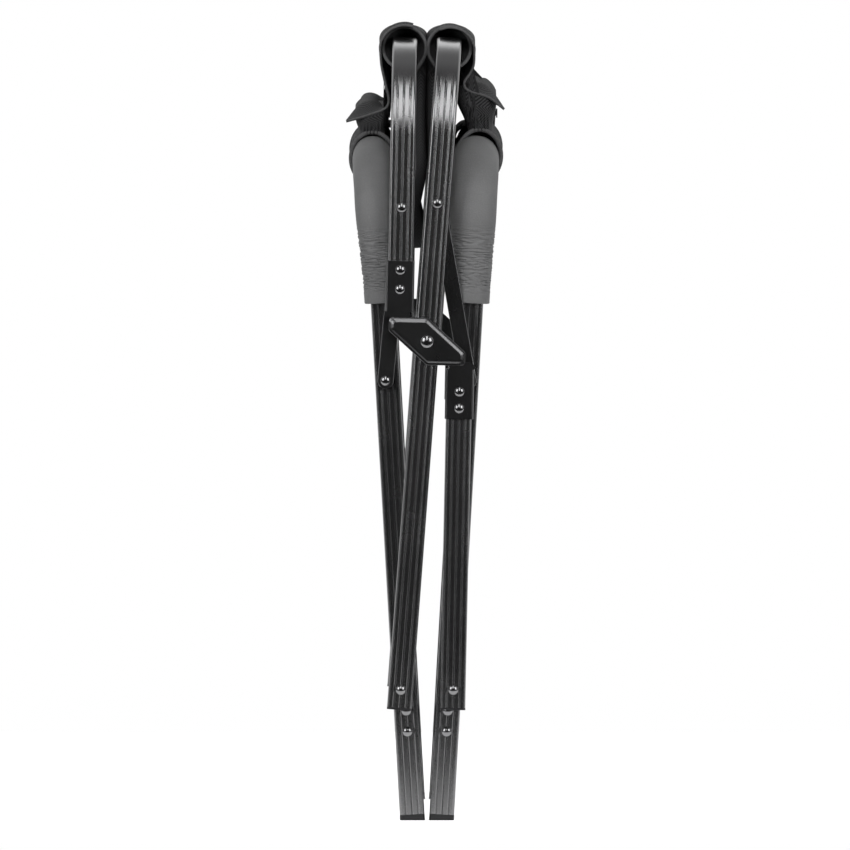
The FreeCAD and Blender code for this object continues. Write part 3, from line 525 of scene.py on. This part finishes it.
def lofted(name, rows, where):
    """A closed mesh through rings of points in millimetres, with a UV map in metres round and along it."""
    shell = bmesh.new()
    layer = shell.loops.layers.uv.new("UVMap")
    grid = [[shell.verts.new(point) for point in row] for row in rows]
    along = [0.0]
    for last, row in zip(rows, rows[1:]):
        steps = [(here - there).length for here, there in zip(row, last)]
        along.append(along[-1] + sum(steps) / len(steps))
    middle = rows[len(rows) // 2]
    count = len(middle)
    across = [0.0]
    for here, there in zip(middle, middle[1:] + middle[:1]):
        across.append(across[-1] + (there - here).length)
    for row in range(len(rows) - 1):
        for spot in range(count):
            after = (spot + 1) % count
            corners = (grid[row][spot], grid[row][after], grid[row + 1][after], grid[row + 1][spot])
            face = shell.faces.new(corners)
            marks = ((spot, row), (spot + 1, row), (spot + 1, row + 1), (spot, row + 1))
            for loop, (wide, long) in zip(face.loops, marks):
                loop[layer].uv = (across[wide] * MM, along[long] * MM)
    shell.faces.new(grid[0])
    shell.faces.new(grid[-1])
    shell.transform(Matrix.Scale(MM, 4) @ where)
    mesh = bpy.data.meshes.new(name)
    shell.to_mesh(mesh)
    shell.free()
    outward(mesh)
    return mesh


LINK_ACROSS = 41.5
LINK_UP = 441.0
LINK_HALF = 8.0
LINK_FACE = 217.0
LINK_BACK = 214.0
for side, across, angle, length in (("left", -LINK_ACROSS, 5.3, 174.7), ("right", LINK_ACROSS, -9.9, 180.8)):
    where = leaning(angle, across, LINK_UP)
    for end, face in (("front", -1.0), ("rear", 1.0)):
        name = f"{side}_{end}_link"
        bar = lofted("bar", bar_rings(length, LINK_HALF, face * LINK_FACE, face * LINK_BACK), where)
        install(f"{name}_bar", bar, steel_finish, f"{side}_links", "plate", name)


# The cross plates: one steel stamping in front and one behind. A folded channel grips each tube,
# and between them a six-sided panel is pressed forward with a sloping border.
def inset_outline(corners, inset, radius):
    """A convex outline moved inwards, its corners rounded, always with the same count of points."""
    count = len(corners)
    lines = []
    for index in range(count):
        here = Vector(corners[index])
        along = (Vector(corners[(index + 1) % count]) - here).normalized()
        lines.append((here + inset * Vector((-along.y, along.x)), along))
    ring = []
    for index in range(count):
        start, before = lines[index - 1]
        other, after = lines[index]
        turn = before.x * after.y - before.y * after.x
        gap = other - start
        corner = start + before * ((gap.x * after.y - gap.y * after.x) / turn)
        half = math.acos(max(-1.0, min(1.0, before.dot(after)))) / 2
        back = radius * math.tan(half)
        inner = corner - before * back + radius * Vector((-before.y, before.x))
        first = math.atan2(before.y, before.x) - math.pi / 2
        for step in range(9):
            heading = first + 2 * half * step / 8
            ring.append(inner + radius * Vector((math.cos(heading), math.sin(heading))))
    return ring


HEXAGON = [(-38.5, 10.0), (0.0, -23.7), (38.5, -23.7), (38.5, -10.0), (0.0, 23.7), (-38.5, 23.7)]
PLATE_BACK = 231.9


def channel_section(middle, face):
    """The folded sheet round one tube: web outside, a wall on each side and a bend at each corner."""
    wall_end = 220.0
    bend_across = 11.9
    bend_level = 231.6
    outer_bend = 2.4
    inner_bend = 0.8
    outer = []
    inner = []
    for hand in (-1.0, 1.0):
        corner = [Vector((middle + hand * (bend_across + outer_bend), face * wall_end, 0.0))]
        inside = [Vector((middle + hand * (bend_across + inner_bend), face * wall_end, 0.0))]
        for step in range(7):
            turn = math.radians(15.0 * step)
            shift = Vector((hand * math.cos(turn), face * math.sin(turn), 0.0))
            base = Vector((middle + hand * bend_across, face * bend_level, 0.0))
            corner.append(base + outer_bend * shift)
            inside.append(base + inner_bend * shift)
        outer.append(corner)
        inner.append(inside)
    return outer[0] + outer[1][::-1] + inner[1] + inner[0][::-1]


def round_ring(radius, count):
    """Points (x, y) on a circle round zero."""
    turns = [math.tau * step / count for step in range(count)]
    return [(radius * math.cos(turn), radius * math.sin(turn)) for turn in turns]


def joined(name, meshes):
    """One mesh of several."""
    shell = bmesh.new()
    for mesh in meshes:
        shell.from_mesh(mesh)
    whole = bpy.data.meshes.new(name)
    shell.to_mesh(whole)
    shell.free()
    outward(whole)
    return whole


def cross_plate(end, face):
    """One stamping: the raised panel, a channel and a neck to it for each tube, and two round ears."""
    rings = []
    for level, inset, radius in (
        (PLATE_BACK, 0.0, 4.5),
        (233.5, 0.0, 4.5),
        (233.9, 0.4, 4.3),
        (234.0, 2.2, 4.0),
        (234.2, 2.5, 3.8),
        (235.2, 4.5, 3.4),
        (235.3, 4.9, 3.2),
        (235.3, 5.4, 3.0),
    ):
        ring = inset_outline(HEXAGON, inset, radius)
        rings.append([Vector((point.x, face * level, point.y)) for point in ring])
    meshes = [lofted("panel", rings, SPLIT)]
    for middle, low, high in ((UPPER_ACROSS, 29.0, 80.0), (LOWER_ACROSS, -77.0, -27.0)):
        section = channel_section(middle, face)
        rows = []
        for height in (low, low + 0.3, high - 0.3, high):
            rows.append([point + Vector((0.0, 0.0, height)) for point in section])
        meshes.append(lofted("channel", rows, SPLIT))
    neck_half = 10.5
    neck_front = 233.6
    corners = (
        (-neck_half, PLATE_BACK),
        (neck_half, PLATE_BACK),
        (neck_half, neck_front),
        (-neck_half, neck_front),
    )
    for middle, low, high in ((UPPER_ACROSS, 20.0, 30.5), (LOWER_ACROSS, -28.5, -20.0)):
        rows = []
        for height in (low, high):
            rows.append([Vector((middle + across, face * level, height)) for across, level in corners])
        meshes.append(lofted("neck", rows, SPLIT))
    ear_radius = 3.2
    ear_front = 233.8
    for across, height in ((-40.2, 27.0), (45.2, -25.0)):
        rows = []
        for level in (PLATE_BACK, ear_front):
            ring = round_ring(ear_radius, 24)
            rows.append([Vector((across + x, face * level, height + z)) for x, z in ring])
        meshes.append(lofted("ear", rows, SPLIT))
    name = f"{end}_cross_plate"
    stamping = joined(f"{name}_stamping", meshes)
    install(f"{name}_stamping", stamping, steel_finish, "split_frame", "plate", name)


cross_plate("front", -1.0)
cross_plate("rear", 1.0)


# The rivets: steel with polished black domes, a shank through the tube and an upset tail inside.
# They are set out by rows of points, a dome outwards at each.
rivet_finish, nodes = new_material("polished_rivet")
place = nodes.node("ShaderNodeTexCoord", {}, {}, "Object")
smear = mottle(nodes, place, 260.0, 2.0)
close_material(
    nodes,
    {"Base Color": (0.22, 0.22, 0.224, 1.0), "Roughness": 0.16 + 0.08 * smear, "Metallic": 1.0},
)
rivet_tree, given = geometry_tree("rivets", (("Rivet", "NodeSocketObject"), ("Finish", "NodeSocketMaterial")))
shape = rivet_tree.node("GeometryNodeObjectInfo", {}, {"Object": given["Rivet"]}, "Geometry")
turn = rivet_tree.node("GeometryNodeInputNamedAttribute", {"data_type": "FLOAT_VECTOR"}, {"Name": "turn"})
instances = rivet_tree.node(
    "GeometryNodeInstanceOnPoints",
    {},
    {"Points": given["Geometry"], "Instance": shape, "Rotation": turn},
)
close_tree(rivet_tree, instances, given["Finish"])


def rivet_shape(cap, dome, shank):
    """A turned rivet: dome up, base of the head at zero, shank and tail below."""
    stem = 2.4
    tail = 3.9
    rim = 0.45
    profile = [(0.0, -shank - 1.2), (tail - 0.5, -shank - 1.2), (tail, -shank - 0.7), (tail, -shank)]
    profile += [(stem, -shank), (stem, 0.0), (cap - 0.2, 0.0), (cap + 0.1, 0.15), (cap, rim)]
    ball = (cap * cap + (dome - rim) ** 2) / (2.0 * (dome - rim))
    opening = math.asin(cap / ball)
    for step in range(1, 9):
        turn = opening * (1.0 - step / 8.0)
        profile.append((ball * math.sin(turn), dome - ball + ball * math.cos(turn)))
    rows = []
    for radius, height in profile:
        rows.append([Vector((x, y, height)) for x, y in round_ring(max(radius, 0.01), 28)])
    return lofted("rivet_shape", rows, Matrix.Scale(1.0 / MM, 4))


def rivets(node, body, where, spots, base, shank, cap=5.0, dome=2.6):
    """Rivets at (across, up) in a frame, front and rear, with heads at that distance from the middle."""
    holder = bpy.data.objects.new("rivet_shape", rivet_shape(cap, dome, shank))
    bpy.context.collection.objects.link(holder)
    points = []
    turns = []
    for across, up in spots:
        for face in (-1.0, 1.0):
            points.append(where @ Vector((across, face * base, up)))
            turns += [-face * math.pi / 2, 0.0, 0.0]
    seed = bpy.data.meshes.new(node)
    seed.from_pydata(points, [], [])
    seed.attributes.new("turn", "FLOAT_VECTOR", "POINT").data.foreach_set("vector", turns)
    mesh = run_tree(seed, rivet_tree, {"Rivet": holder, "Finish": rivet_finish})
    mesh.transform(Matrix.Scale(MM, 4))
    outward(mesh)
    bpy.data.objects.remove(holder)
    install(node + "_domes", mesh, rivet_finish, body, "rivet", node)


UPRIGHT = Matrix.Identity(4)
pivot_base = 232.1
link_base = 217.1
leg_base = 206.0
frame_base = 232.0
left_pivot = [(-LOW_PIVOT_ACROSS, LOW_PIVOT_UP)]
right_pivot = [(LOW_PIVOT_ACROSS, LOW_PIVOT_UP)]
left_link = [(-LINK_ACROSS, LINK_UP)]
right_link = [(LINK_ACROSS, LINK_UP)]
stretcher = [(0.0, 110.0), (0.0, 89.0)]
plate = [(UPPER_ACROSS, 71.0), (UPPER_ACROSS, 51.6), (LOWER_ACROSS, -49.7), (LOWER_ACROSS, -66.3)]
rivets("left_low_pivot_rivets", "side_left", UPRIGHT, left_pivot, pivot_base, shank=38.0)
rivets("right_low_pivot_rivets", "side_right", UPRIGHT, right_pivot, pivot_base, shank=38.0)
rivets("left_link_rivets", "side_left", UPRIGHT, left_link, link_base, shank=24.0)
rivets("right_link_rivets", "side_right", UPRIGHT, right_link, link_base, dome=1.0, shank=24.0)
rivets("left_stretcher_rivets", "side_left", LEFT_SIDE, stretcher, leg_base, shank=15.0)
rivets("right_stretcher_rivets", "side_right", RIGHT_SIDE, stretcher, leg_base, shank=15.0)
rivets("straight_link_rivets", "straight_frame", STRAIGHT, [(0.0, 488.5)], frame_base, shank=17.0)
rivets("split_link_rivets", "split_frame", SPLIT, [(UPPER_ACROSS, 133.4)], frame_base, shank=17.0)
rivets("cross_plate_rivets", "split_frame", SPLIT, plate, 234.0, shank=16.0)
rivets("cross_pivot_rivets", "split_frame", SPLIT, [(0.0, 0.0)], 236.0, cap=6.6, dome=3.2, shank=18.0)


# The arm pads: foam sleeves in a dark grey leather cloth, pulled up the front leg, round the bend
# and along the arm. The skin is smooth where it is stretched over the bend,
# and it creases across the leg below it.
pad_finish, nodes = new_material("leather_cloth")
place = nodes.node("ShaderNodeTexCoord", {}, {}, "Object")
grain = nodes.node("ShaderNodeTexVoronoi", {}, {"Vector": place, "Scale": 900.0}, "Distance")
cloud = mottle(nodes, place, 45.0, 4.0)
flat = nodes.node("ShaderNodeMapping", {}, {"Vector": place, "Scale": (60.0, 60.0, 420.0)})
crease = mottle(nodes, flat, 1.0, 3.0)
shade = between(nodes, 0.6 * cloud + 0.4 * grain, (0.15, 0.151, 0.152, 1.0), (0.235, 0.236, 0.238, 1.0))
bump = nodes.node(
    "ShaderNodeBump",
    {},
    {"Height": 0.5 * grain + 0.5 * crease, "Strength": 0.3, "Distance": 0.0006},
)
close_material(
    nodes,
    {"Base Color": shade, "Roughness": 0.5 + 0.2 * cloud, "Specular IOR Level": 0.35, "Normal": bump},
)
PAD_FOOT = 520.0
PAD_BEND_END = 174.2
PAD_RUN = 254.0


def pad_stations():
    """Places along the sleeve: (y, z, outward y, outward z, distance along)."""
    bend_depth = ARM_BEND - LEG_REACH
    bend_height = ARM_HEIGHT - ARM_BEND
    stations = []
    for index in range(114):
        height = PAD_FOOT + 0.7 * index
        stations.append((-LEG_REACH, height, -1.0, 0.0, height - PAD_FOOT))
    for index in range(33):
        turn = math.radians(90.0 * index / 32)
        out = math.cos(turn)
        up = math.sin(turn)
        along = bend_height - PAD_FOOT + ARM_BEND * turn
        stations.append((bend_depth - ARM_BEND * out, bend_height + ARM_BEND * up, -out, up, along))
    for index in range(1, 33):
        depth = bend_depth + PAD_RUN * index / 32
        stations.append((depth, ARM_HEIGHT, 0.0, 1.0, PAD_BEND_END + depth - bend_depth))
    return stations


def arm_pad(side, where, swell_out, lean, seed):
    """One sleeve; up the leg it widens by swell_out and leans across the chair by lean."""
    foot_half = 18.6
    roundness = 0.95
    crease_depth = 0.065
    crease_width = 0.3
    rounded_end = ((0.8, 0.7), (0.88, -0.6), (0.95, -0.9), (0.99, -0.5))
    rows = []
    stations = pad_stations()
    finish = stations[-1][4]
    for y, z, out_y, out_z, along in stations:
        stretched = eased(95.0, 175.0, along)
        half = foot_half + swell_out * eased(0.0, 95.0, along)
        outer = 16.5 + 7.7 * stretched
        inner = 10.6 + 8.4 * stretched
        tuck = 1.0 - 0.12 * eased(finish - 4.0, finish, along)
        creased = eased(6.0, 18.0, along) * (1.0 - eased(58.0, 84.0, along))
        row = []
        for step in range(72):
            turn = math.tau * step / 72
            cosine = math.cos(turn)
            sine = math.sin(turn)
            across = half * math.copysign(abs(cosine) ** roundness, cosine)
            deep = (outer if sine > 0.0 else inner) * math.copysign(abs(sine) ** roundness, sine)
            spot = Vector((across / 13.0 + seed, along / 2.4, deep / 13.0))
            fold = max(0.0, 1.0 - abs(noise.noise(spot)) / crease_width) ** 1.5
            swell = noise.noise(Vector((across / 30.0 + seed, along / 24.0, deep / 30.0)))
            shrink = tuck * (1.0 - crease_depth * creased * fold + 0.012 * swell)
            outside = across * shrink + lean * eased(0.0, 110.0, along)
            row.append(Vector((outside, y + out_y * deep * shrink, z + out_z * deep * shrink)))
        if along == 0.0:
            centre = Vector((0.0, y, z))
            for scale, lift in rounded_end:
                shift = Vector((0.0, 0.0, lift))
                rows.append([centre + (point - centre) * scale + shift for point in row])
        rows.append(row)
    name = f"{side}_arm_pad"
    mesh = lofted(f"{name}_sleeve", rows, where)
    piece = install(f"{name}_sleeve", mesh, pad_finish, f"side_{side}", "pad", name)


arm_pad("left", LEFT_SIDE, 1.7, -2.5, 3.1)
arm_pad("right", RIGHT_SIDE, 4.6, -2.9, 17.4)


# The seat: black woven mesh in two halves, each with a wide loop round its rail and hanging
# between the frames. Below the rails the front hems curl apart,
# and a cord binds the front and rear edge of each half.
def woven(name, pale):
    """A herringbone weave; pale is the brightness of its raised threads."""
    band_width = 0.012
    rib_pitch = 0.0034
    rib_slope = 0.0042
    thread_pitch = 0.0011
    finish, nodes = new_material(name)
    spread = nodes.node("ShaderNodeUVMap", {"uv_map": "UVMap"})
    across = nodes.node("ShaderNodeSeparateXYZ", {}, {"Vector": spread})
    along = Flow(nodes, across.socket.node.outputs["Y"])
    band = (along / band_width).math("PINGPONG", 1.0) * band_width
    rib = (math.tau * (across / rib_pitch + band / rib_slope)).math("SINE")
    thread = (math.tau * along / thread_pitch).math("SINE")
    weave = 0.5 + 0.42 * rib + 0.06 * thread
    shade = between(nodes, weave, (0.002, 0.002, 0.0023, 1.0), (pale, pale, 1.03 * pale, 1.0))
    bump = nodes.node("ShaderNodeBump", {}, {"Height": weave, "Strength": 0.5, "Distance": 0.0006})
    close_material(nodes, {"Base Color": shade, "Roughness": 0.75, "Specular IOR Level": 0.2, "Normal": bump})
    return finish


cloth_finish = woven("woven_mesh", 0.07)
# The seat halves get a brighter copy of the same weave as the side panels: painted light that lifts the seat
# where it hangs in shade between the frames.
seat_brightened_finish = woven("woven_seat_painted_light", 0.085)
hem_finish, nodes = new_material("corded_hem")
place = nodes.node("ShaderNodeTexCoord", {}, {}, "Object")
knit = mottle(nodes, place, 600.0, 3.0)
shade = between(nodes, knit, (0.05, 0.05, 0.051, 1.0), (0.16, 0.16, 0.162, 1.0))
bump = nodes.node("ShaderNodeBump", {}, {"Height": knit, "Strength": 0.5, "Distance": 0.0008})
close_material(nodes, {"Base Color": shade, "Roughness": 0.7, "Specular IOR Level": 0.25, "Normal": bump})
cord_tree, given = geometry_tree(
    "hem_cord",
    (("Cord radius", "NodeSocketFloat"), ("Finish", "NodeSocketMaterial")),
)
run = cord_tree.node("GeometryNodeMeshToCurve", {}, {"Mesh": given["Geometry"]})
ring = cord_tree.node(
    "GeometryNodeCurvePrimitiveCircle",
    {},
    {"Resolution": 10, "Radius": given["Cord radius"]},
)
cord = cord_tree.node("GeometryNodeCurveToMesh", {}, {"Curve": run, "Profile Curve": ring, "Fill Caps": True})
close_tree(cord_tree, cord, given["Finish"])


def smooth_line(points, steps):
    """A smooth line through (across, up) points, with that many steps from each to the next."""
    ends = [points[0]] + list(points) + [points[-1]]
    line = []
    for one, two, three, four in zip(ends, ends[1:], ends[2:], ends[3:]):
        for step in range(steps):
            share = step / steps
            spot = []
            for a, b, c, d in zip(one, two, three, four):
                bend = (2 * a - 5 * b + 4 * c - d) * share + (3 * b - a - 3 * c + d) * share * share
                spot.append(b + 0.5 * share * (c - a + bend))
            line.append(Vector(spot))
    line.append(Vector(points[-1]))
    return line


def cloth(
    name, line, front, rear, drift, rail, body, node,
    cord=1.3, more=(), finish=cloth_finish, slant=0.0,
):
    """A sheet along a line across the chair, from front to rear, with a corded hem at both ends.

    drift(spot, depth) gives how far the cloth wanders across and up, and how snug it is to its rail.
    more are pieces that are sewn to the sheet; they are not used. The front edge slants back over the rail by
    slant."""
    half_thick = 0.8
    snug_wide = 0.6
    snug_tall = 0.46
    steps = 60
    count = len(line)
    rows = []
    hems = []
    for row in range(steps + 1):
        depth = front + (rear - front) * row / steps
        spots = []
        for spot in line:
            aside, lift, snug = drift(spot, depth)
            away = spot - rail
            tight = rail + Vector((away.x * snug_wide, away.y * snug_tall))
            spots.append(spot.lerp(tight, snug) + Vector((aside, lift)))
        top = []
        low = []
        hem = []
        for index, spot in enumerate(spots):
            heading = (spots[min(index + 1, count - 1)] - spots[max(index - 1, 0)]).normalized()
            side = Vector((-heading.y, heading.x)) * half_thick
            over_rail = eased(rail.y - 24.0, rail.y + 12.0, line[index].y)
            deep = depth + slant * (1.0 - row / steps) * over_rail
            top.append(Vector((spot.x + side.x, deep, spot.y + side.y)))
            low.append(Vector((spot.x - side.x, deep, spot.y - side.y)))
            hem.append(Vector((spot.x, deep, spot.y)))
        rows.append(top + low[::-1])
        if row in (0, steps):
            hems.append(hem)
    mesh = lofted(name, rows, UPRIGHT)
    piece = install(name, mesh, finish, body, "cloth", node)
    extras = list(more)
    for end, hem in zip(("front", "rear"), hems):
        seed = line_mesh("hem", hem)
        bead = run_tree(seed, cord_tree, {"Cord radius": cord, "Finish": hem_finish})
        bead.transform(Matrix.Scale(MM, 4))
        outward(bead)
        extras.append(install(f"{name}_{end}_hem", bead, hem_finish, body, "cloth"))


def arc_points(middle, wide, tall, start, end, count):
    """Points on an oval, from one angle to another in degrees."""
    points = []
    for index in range(count):
        turn = math.radians(start + (end - start) * index / (count - 1))
        points.append((middle[0] + wide * math.cos(turn), middle[1] + tall * math.sin(turn)))
    return points


RAIL_HEIGHT = 774.2
LEFT_RAIL = Vector((-22.04, RAIL_HEIGHT))
RIGHT_RAIL = Vector((22.04, RAIL_HEIGHT))
SEAT_FRONT = -150.0
SEAT_REAR = 175.0
MOUTH_END = -60.0


def sunk(spot, depth):
    """How far the top of a loop settles on its rail behind the mouth."""
    behind = min(max((depth - MOUTH_END) / (SEAT_REAR - MOUTH_END), 0.0), 1.0)
    return 0.5 * max(0.0, spot.y - RAIL_HEIGHT) * behind


def seat_drift(hand):
    """The halves hang face to face in the same waves; their front hems curl apart."""
    curl_reach = 12.0
    tuck_reach = 9.0

    def drift(spot, depth):
        near = 1.0 - eased(10.0, 16.0, abs(spot.x))
        below_loop = 1.0 - eased(742.0, 768.0, spot.y)
        below_top = 1.0 - eased(776.0, 790.0, spot.y)
        inside = near * eased(742.0, 753.0, spot.y) * below_top
        drawn = 1.0 - eased(-100.0, MOUTH_END, depth)
        curl = curl_reach * near * below_loop * (1.0 - eased(SEAT_FRONT, -128.0, depth))
        tuck = tuck_reach * inside * eased(-149.0, -122.0, depth) * drawn
        snug = (1.0 - near * below_top) * eased(-149.0, -116.0, depth) * drawn
        hanging = 1.0 - eased(715.0, 758.0, spot.y)
        wave = hanging * noise.noise(Vector((depth / 70.0, spot.y / 60.0, 2.5)))
        return (hand * (curl + tuck) + 1.6 * wave, 0.4 * wave - sunk(spot, depth), snug)

    return drift


left_seat = arc_points((-22.5, 771.5), 21.4, 20.6, 240.0, -6.0, 16)
left_seat += [(-1.1, 752.0), (-1.0, 735.0), (-1.0, 715.0), (-1.0, 690.0), (-1.0, 660.0), (-2.2, 642.0)]
left_seat += [(-5.5, 624.0), (-7.5, 611.0), (-5.5, 600.0), (-3.0, 590.0), (-3.5, 580.0), (-6.0, 571.0)]
right_seat = arc_points((22.5, 771.5), 21.4, 20.6, -60.0, 186.0, 16)
right_seat += [(1.1, 752.0), (1.0, 735.0), (1.0, 715.0), (1.0, 690.0), (1.2, 660.0), (4.0, 636.0)]
right_seat += [(7.0, 610.0), (7.5, 585.0), (6.0, 566.0)]
for side, line, hand, rail, tube in (
    ("left", left_seat, -1.0, LEFT_RAIL, "split_upper_tube"),
    ("right", right_seat, 1.0, RIGHT_RAIL, "straight_frame_tube"),
):
    cloth(
        f"{side}_seat_mesh",
        smooth_line(line, 6),
        SEAT_FRONT,
        SEAT_REAR,
        seat_drift(hand),
        rail,
        f"seat_{side}",
        f"{side}_seat_cloth",
        cord=1.8,
        # The brighter copy of the weave: painted light for the shaded seat.
        finish=seat_brightened_finish,
        slant=30.0,
    )


# The side panels: the same mesh, sewn over the outer half of each seat loop, let down to a folded fin
# and brought back to a sleeve round the padded arm, whose mouth is bound with a thick cord.
FIN_ROOT = 42.0


def fin_lift(across, tip, arch, depth):
    """How far the fin rises, towards the rear, above its front hem."""
    out = min(max((abs(across) - FIN_ROOT) / (abs(tip) - FIN_ROOT), 0.0), 1.0)
    return arch * math.sin(math.pi * out) * eased(-140.0, -98.0, depth)


def flap_drift(hand, tip, arch, seed):
    """Behind its front hem the flap draws in below the rail and its fin narrows and rises."""
    waist_reach = 10.0
    taper_reach = 9.0

    def drift(spot, depth):
        below_rail = eased(708.0, 722.0, spot.y) * (1.0 - eased(745.0, 768.0, spot.y))
        waist = below_rail * eased(-140.0, -20.0, depth)
        taper = eased(60.0, 82.0, abs(spot.x)) * eased(-135.0, 40.0, depth)
        loose = 1.0 - eased(60.0, 76.0, abs(spot.x))
        wave = 0.8 * loose * noise.noise(Vector((depth / 55.0, spot.y / 20.0, seed)))
        drawn = eased(-138.0, MOUTH_END, depth) * (1.0 - eased(-100.0, MOUTH_END, depth))
        snug = 0.9 * eased(738.0, 764.0, spot.y) * drawn
        lift = fin_lift(spot.x, tip, arch, depth) * (1.0 - eased(731.0, 737.0, spot.y))
        lift += 0.5 * wave - sunk(spot, depth)
        return (-hand * (waist_reach * waist + taper_reach * taper) + 0.6 * wave, lift, snug)

    return drift


def height_on(line, across):
    """How high the outer half of a line is at that place across the chair."""
    outer = line[len(line) // 2:]
    return min(outer, key=lambda spot: abs(spot.x - across)).y


def neck_rows(flap, arch, low, foot, crown):
    """Rings of points up the gathered neck, from the sleeve to the underside of the fin.

    foot and crown are the (middle, half width) of the lowest ring and of the widest ones."""
    neck_middle = -14.5
    neck_half = 127.5
    neck_height = 26.0
    spread_height = 20.0
    pleat_rate = 1.8
    rows = []
    for step in range(23):
        share = step / 22
        level = low + neck_height * share
        spread = eased(low, low + spread_height, level)
        middle = foot[0] + (crown[0] - foot[0]) * spread
        half = foot[1] + (crown[1] - foot[1]) * spread
        ring = []
        for spot in range(160):
            turn = math.tau * spot / 160
            across = middle + half * math.copysign(abs(math.cos(turn)) ** 0.6, math.cos(turn))
            deep = neck_half * math.copysign(abs(math.sin(turn)) ** 0.2, math.sin(turn))
            pleat = (1.0 - eased(0.3, 0.7, share)) * math.sin(across * pleat_rate)
            depth = neck_middle + deep + pleat
            top = height_on(flap, across) - 1.5 + fin_lift(across, flap[-1].x, arch, depth)
            ring.append(Vector((across, depth, low + (top - low) * share)))
        rows.append(ring)
    return rows


def still(spot, depth):
    """No drift: the sleeves keep their line."""
    return (0.0, 0.0, 0.0)


left_flap = arc_points((-22.5, 771.0), 24.6, 23.2, 70.0, 190.0, 9)
left_flap += [(-45.6, 754.0), (-43.0, 742.0), (-40.6, 731.0), (-38.6, 721.0), (-39.6, 713.5), (-45.0, 709.0)]
left_flap += [(-51.0, 706.8), (-57.0, 704.8), (-64.0, 702.4), (-71.0, 700.4), (-77.0, 698.8), (-81.0, 697.8)]
right_flap = arc_points((23.5, 769.5), 24.2, 22.6, 115.0, -10.0, 9)
right_flap += [(46.6, 754.0), (42.6, 745.0), (37.4, 737.5), (38.2, 731.0), (44.0, 727.6)]
right_flap += [(52.4, 725.0), (61.3, 721.7), (69.0, 716.6), (77.4, 710.0)]
FLAP_FRONT = -141.0
SLEEVE_FRONT = -140.0
PANEL_REAR = 112.0
SLEEVE_WIDE = 21.6
SLEEVE_TALL = 26.0
for side, hand, points, arch, sleeve_top, middle, foot, crown, rail, tube in (
    (
        "left", -1.0, left_flap, 13.0, 687.0, -54.6,
        (-55.0, 13.5), (-54.0, 18.0), LEFT_RAIL, "split_upper_tube",
    ),
    (
        "right", 1.0, right_flap, 11.0, 689.5, 52.6,
        (53.0, 12.8), (49.0, 20.5), RIGHT_RAIL, "straight_frame_tube",
    ),
):
    flap = smooth_line(points, 6)
    cloth(
        f"{side}_upper_panel_mesh",
        flap,
        FLAP_FRONT,
        PANEL_REAR,
        flap_drift(hand, flap[-1].x, arch, 6.5 + hand),
        rail,
        f"{side}_panel_upper",
        f"{side}_upper_panel",
    )
    rows = neck_rows(flap, arch, sleeve_top - 2.0, foot, crown)
    collar = lofted("neck", rows, UPRIGHT)
    neck = install(f"{side}_panel_neck", collar, cloth_finish, f"{side}_panel_lower", "cloth")
    sleeve_middle = (middle, sleeve_top - SLEEVE_TALL)
    sleeve = arc_points(sleeve_middle, SLEEVE_WIDE, SLEEVE_TALL, 90.0, 90.0 - hand * 359.0, 30)
    cloth(
        f"{side}_lower_panel_mesh",
        smooth_line(sleeve, 5),
        SLEEVE_FRONT,
        PANEL_REAR,
        still,
        rail,
        f"{side}_panel_lower",
        f"{side}_lower_panel",
        cord=2.3,
        more=[neck],
    )


# The back: one band of the same mesh in two halves, each with a pocket over its post.
# The posts are folded forward over the arms, so the band hangs down inside the chair.
POST_ACROSS = 54.01
POST_HEIGHT = 695.88
POCKET = 10.9
BAND_FRONT = -30.0
BAND_REAR = 122.0


def back_drift(seed):
    """The band waves a little where it hangs free."""

    def drift(spot, depth):
        hanging = 1.0 - eased(650.0, 690.0, spot.y)
        wave = noise.noise(Vector((depth / 60.0, spot.y / 80.0, seed)))
        return (1.5 * hanging * wave, 0.0, 0.0)

    return drift


for side, hand, start in (("left", -1.0, -40.0), ("right", 1.0, 220.0)):
    post = (hand * POST_ACROSS, POST_HEIGHT)
    band = arc_points(post, POCKET, POCKET, start, start - hand * 290.0, 16)
    band += [(hand * 40.5, 689.0), (hand * 32.0, 686.0), (hand * 27.6, 676.0), (hand * 25.6, 640.0)]
    band += [(hand * 20.0, 560.0), (hand * 12.5, 480.0), (hand * 5.0, 401.0)]
    cloth(
        f"{side}_back_mesh",
        smooth_line(band, 6),
        BAND_FRONT,
        BAND_REAR,
        back_drift(12.0 + hand),
        Vector(post),
        f"back_cloth_{side}",
        f"{side}_back_cloth",
    )
